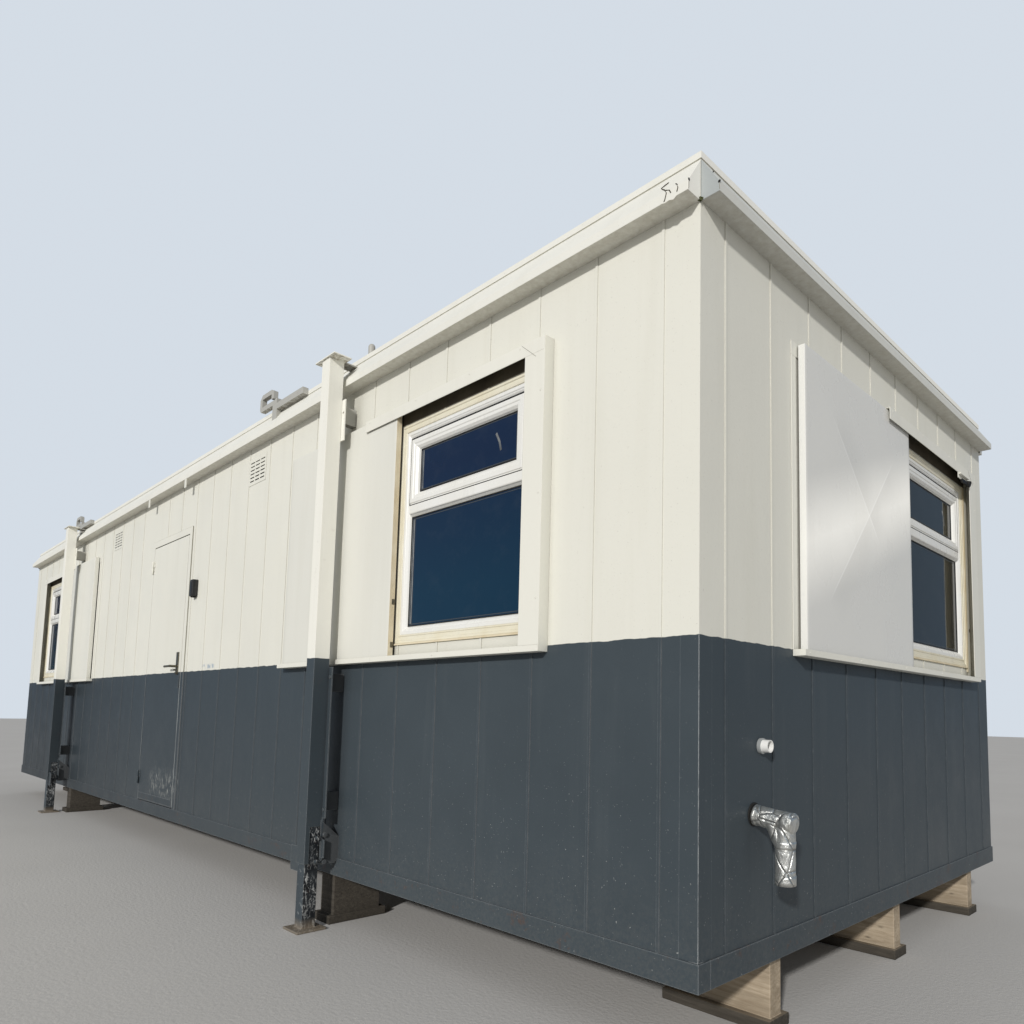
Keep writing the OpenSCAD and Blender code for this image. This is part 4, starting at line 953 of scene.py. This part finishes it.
lock.rod((0, PLATE_Y, HANDLE_Z - 0.048), (0, PLATE_Y - 0.007, HANDLE_Z - 0.048), 0.0085, 20)
lock.box((-0.0045, PLATE_Y - 0.016, HANDLE_Z - 0.05), (0.0045, PLATE_Y - 0.006, HANDLE_Z - 0.046))
lock.box((-0.03, PLATE_Y - 0.012, HANDLE_Z - 0.03), (-0.008, PLATE_Y - 0.001, HANDLE_Z - 0.02))
lock.done("door_lock_turn", STEEL, "satin_metal", "door", bevel=0.0008)
plate_screws = Shape(front(HANDLE_X))
for z in (-0.05, 0.094):
    plate_screws.dome((0, PLATE_Y, HANDLE_Z + z), 0.0036, 0.0014, 12)
plate_screws.done("door_plate_screws", STEEL, "satin_metal", "door", smooth=True)
latch = Shape(front()).box((LEAF_R - 0.034, LEAF_Y - 0.006, 0.958), (LEAF_R - 0.008, LEAF_Y, 1.046))
latch.done("door_latch_box", BASE, "slate_steel", "door", bevel=0.0015)
hinge_screws = Shape(front())
for z in (0.263, 1.938):
    for dz in (-0.032, 0.0, 0.032):
        hinge_screws.dome((LEAF_L + 0.02, LEAF_Y - 0.0032, z + dz), 0.003, 0.001, 10)
hinge_screws.done("door_hinge_screws", STEEL, "zinc_steel", "door", smooth=True)

# Vents: folded louvre hoods over the slots and a dark insect mesh behind them
VENT_X, VENT_W, VENT_H, VENT_Z = 1.502, 0.25, 0.176, 2.25
VENT_ROWS, VENT_COLS = 6, 3
PITCH_Z = (VENT_H - 0.032) / VENT_ROWS
HOOD = [(-0.003, 0.0045), (-0.0062, 0.0005), (-0.0056, 0.0001), (-0.0026, 0.0032)]
MESH_L, MESH_H = VENT_W / 2 - 0.012, VENT_Z + VENT_H - 0.014
for name, x in (("near", VENT_X), ("far", -VENT_X)):
    hoods = Shape(front(x))
    for row in range(VENT_ROWS):
        for col in range(VENT_COLS):
            left = -VENT_W / 2 + 0.02 + col * (VENT_W - 0.024) / VENT_COLS
            z = VENT_Z + 0.016 + (row + 0.5) * PITCH_Z
            wide = (VENT_W - 0.024) / VENT_COLS - 0.016
            hoods.prism([(y, z + up) for y, up in HOOD], 0, left, left + wide)
    hoods.done(f"vent_hoods_{name}", TRIM, "cream_steel")
    mesh = Shape(front(x)).box((-MESH_L, -0.0009, VENT_Z + 0.014), (MESH_L, -0.0002, MESH_H))
    mesh.done(f"vent_mesh_{name}", BLACK, "black_plastic")

# Roof rail: holes and seams in the end plates, a black strip of painted shade in the joint under the eaves, a
# dent in the front rail
HOLES = [((HALF_L, -1.591, 2.773), (1, 0, 0), 0.005), ((4.948, -HALF_W, 2.768), (0, -1, 0), 0.005),
         ((4.925, -HALF_W, 2.812), (0, -1, 0), 0.0026)]
holes = Shape()
for centre, normal, size in HOLES:
    holes.rod(centre, Vector(centre) + Vector(normal) * 0.0006, size, 16)
holes.done("rail_holes", RUBBER, "cream_steel")
seam = Shape()
seam.tube([(HALF_L + 0.0004, -1.5915, 2.768), (HALF_L + 0.0004, -1.5925, 2.741)], 0.001, 6)
seam.tube([(4.9482, -HALF_W - 0.0004, 2.763), (4.9492, -HALF_W - 0.0004, 2.741)], 0.001, 6)
seam.tube([(HALF_L + 0.0008, -HALF_W - 0.0008, z) for z in (2.742, 2.8, 2.85, 2.9)], 0.0006, 6)
seam.done("rail_seams", LINE, "cream_steel")
# Black strips in the joint under the eaves: painted shade
random.seed(5)
joint_shade = Shape()
for place, half in ((front(), HALF_L), (back(), HALF_L), (near(), HALF_W), (far(), HALF_W)):
    at = -half + 0.004
    while at < half - 0.02:
        long = min(random.uniform(0.25, 1.1), half - 0.004 - at)
        joint_shade.box((at, -0.0022, EAVES - 0.007), (at + long, 0.0005, EAVES - 0.0006))
        at += long + random.uniform(0.015, 0.06)
joint_shade.done("eaves_joint_shade", RUBBER, "cream_steel")
DENT = [(4.77, 2.7372), (4.786, 2.7322), (4.803, 2.734), (4.82, 2.7285), (4.836, 2.7372)]
Shape().prism(DENT, 1, -1.5976, -1.5955).done("rail_dent", ROOF, "cream_steel")

# A crack with two branches down the front rail's sheet, and moss in the corners
CRACK = [[(4.7695, -1.5534, 2.8365), (4.76, -1.559, 2.83), (4.7454, -1.5627, 2.8222),
          (4.758, -1.572, 2.8075), (4.776, -1.585, 2.79), (4.792, -1.5965, 2.764),
          (4.786, -1.5965, 2.744), (4.782, -1.5965, 2.737)],
         [(4.786, -1.5905, 2.78), (4.804, -1.5965, 2.768), (4.81, -1.5965, 2.756)],
         [(4.8208, -1.5841, 2.7892), (4.833, -1.593, 2.775), (4.838, -1.5965, 2.76),
          (4.834, -1.5965, 2.748)]]
crack = Shape()
for path in CRACK:
    crack.tube([(x, y - 0.0006, z + 0.0008) for x, y, z in path], 0.0017, 6)
crack.done("rail_crack", SHADOW, "cream_steel")
random.seed(3)
moss = Shape()
for cx, cy in ((1, -1), (-1, -1), (1, 1), (-1, 1)):
    for _ in range(14):
        spot = (cx * (HALF_L + random.uniform(-0.004, 0.007)), cy * (HALF_W + random.uniform(-0.004, 0.007)),
                2.731 + random.uniform(0.0, 0.012))
        moss.dome(spot, random.uniform(0.003, 0.0055), random.uniform(0.002, 0.004), 8, (cx, cy, 0.4))
MOSS = timber("moss", (0.11, 0.12, 0.05), (0.045, 0.05, 0.02))
moss.done("rail_moss", MOSS, "worn_steel", smooth=True)

# Roof sheet: standing laps across the cabin
LAP_Z, LAP_Y = CLEAR + ROOF_Z, HALF_W - 0.03
LAP_PITCH = 1.22
laps = Shape()
for i in range(-3, 4):
    x = i * LAP_PITCH
    laps.box((x - 0.03, -LAP_Y, LAP_Z), (x + 0.03, LAP_Y, LAP_Z + 0.0015))
laps.done("roof_laps", ROOF, "cream_steel", bevel=0.0005)

# Jacklegs: locking pins with handles, bolts through the brackets, welds under the caps
PIN_Y, PIN_LOW, PIN_HIGH = -0.112, 0.082, 0.196
GRIP = [(PIN_Y, PIN_LOW), (-0.096, 0.08), (-0.088, 0.09), (-0.086, 0.13), (-0.087, 0.18), (-0.094, 0.197),
        (PIN_Y, PIN_HIGH)]
LEG_HALF = LEG_S / 2
SQUARE = ((-1, -1), (1, -1), (1, 1), (-1, 1))
WELD_HALF, WELD_TOP = LEG_HALF + 0.003, EAVES + 0.118
WELD = ((WELD_HALF * 0.9, WELD_TOP - 0.006), (WELD_HALF, WELD_TOP - 0.0005))
for name, place in LEGS.items():
    fittings = Shape(place).tube([(LEG_HALF + 0.009, y, z) for y, z in GRIP], 0.0055, 10)
    for z in (PIN_LOW, PIN_HIGH):
        fittings.rod((LEG_HALF - 0.001, PIN_Y, z), (LEG_HALF + 0.016, PIN_Y, z), 0.01, 18)
    fittings.done(f"leg_pin_{name}", FLAKE, "worn_steel")
    bolts = Shape(place)
    for x in (-0.056, 0.056):
        for z in (0.33, 0.98, 2.345):
            bolts.rod((x, -0.093, z), (x, -0.0985, z), 0.0085, 6)
    bolts.done(f"leg_bolts_{name}", LEG, "leg_steel", bevel=0.0008)
    weld = Shape(place).loft([[(x * half, LEG_Y + y * half, z) for x, y in SQUARE] for half, z in WELD])
    weld.done(f"leg_cap_weld_{name}", LEG, "leg_steel", smooth=True)

# Waste stub: a dark collar on the wall. Lagged pipe: tape wound round it, and a black disc in its open lower
# end as painted shade inside the pipe
plate = Shape(near(-1.156)).rod((0, -0.0003, 0.723), (0, -0.012, 0.723), 0.027, 40)
plate.done("stub_plate", WORN, "black_plastic", bevel=0.0008)
tape = Shape(near(-HALF_W))
for start, end in ((0.07, 0.16), (0.96, 1.24)):
    tape.loft(lumpy(START.lerp(ELBOW, start), START.lerp(ELBOW, end), 0.0346, 3, 9.0 + start))
for start, end in ((0.3, 0.42), (0.84, 0.99)):
    tape.loft(lumpy(ELBOW.lerp(LOW_END, start), ELBOW.lerp(LOW_END, end), 0.034, 3, 4.0 + start))
tape.done("pipe_tape", FOIL, "silver_foil", smooth=True)
# A black disc in the open lower end: painted shade inside the pipe
mouth = Shape(near(-HALF_W))
mouth.rod(LOW_END + Vector((0, 0, 0.003)), LOW_END - Vector((0, 0, 0.0004)), 0.027, 32)
mouth.done("pipe_mouth_shade", RUBBER, "black_plastic")

# Floor, light and camera
n = Nodes("studio_floor")
shade = n.mix(n.ramp(n.noise(0.8, 4), 0.3, 0.7), (0.58, 0.572, 0.556), (0.555, 0.546, 0.53))
floor_material = n.finish(shade, 0.85, 0.0, n.bump(n.noise(60, 4), 0.002), 0.2)
FLOOR_HALF = 60
floor = Shape().box((-FLOOR_HALF, -FLOOR_HALF, -0.05), (FLOOR_HALF, FLOOR_HALF, 0.0))
floor.link("studio_floor", floor_material)

world = bpy.data.worlds.new("studio")
bpy.context.scene.world = world
world.use_nodes = True
tree = world.node_tree
tree.nodes.clear()
rays = tree.nodes.new("ShaderNodeLightPath")


def background(color, strength):
    made = tree.nodes.new("ShaderNodeBackground")
    made.inputs["Color"].default_value = (*color, 1.0)
    made.inputs["Strength"].default_value = strength
    return made.outputs[0]


def choose(kind, others, chosen):
    """chosen for the rays of one kind, others for the rest."""
    made = tree.nodes.new("ShaderNodeMixShader")
    for i, socket in enumerate((rays.outputs[kind], others, chosen)):
        tree.links.new(socket, made.inputs[i])
    return made.outputs[0]


soft = background((0.97, 0.98, 1.0), 0.37)
shine = background((0.3, 0.44, 0.62), 0.5)
seen = background((0.66, 0.72, 0.79), 1.0)
sky = choose("Is Camera Ray", choose("Is Glossy Ray", soft, shine), seen)
out = tree.nodes.new("ShaderNodeOutputWorld")
tree.links.new(sky, out.inputs["Surface"])

lamp_data = bpy.data.lights.new("key", "SUN")
lamp_data.energy = 2.4
lamp_data.angle = math.radians(3)
lamp_data.color = (1.0, 0.975, 0.94)
key = placed("key", lamp_data)
key.rotation_mode = "QUATERNION"
SUN_FROM = Vector((0.38, -0.78, 0.365))
key.rotation_quaternion = SUN_FROM.to_track_quat("Z", "Y")

camera_data = bpy.data.cameras.new("camera")
camera_data.sensor_width = 36.0
camera_data.lens = 25.896
camera_data.shift_x = -0.062
camera_data.shift_y = 0.1313
camera = placed("camera", camera_data)
right = Vector((0.7228, 0.69079, 0.01914))
up = Vector((0.04988, -0.07978, 0.99556))
behind = Vector((0.68926, -0.71864, -0.09212))
turn = Matrix((right, up, behind)).transposed()
EYE = (6.16679, -3.41953, 1.05704)
camera.matrix_world = Matrix.Translation(EYE) @ turn.to_4x4()
bpy.context.scene.camera = camera

bpy.context.scene.view_settings.view_transform = "Standard"
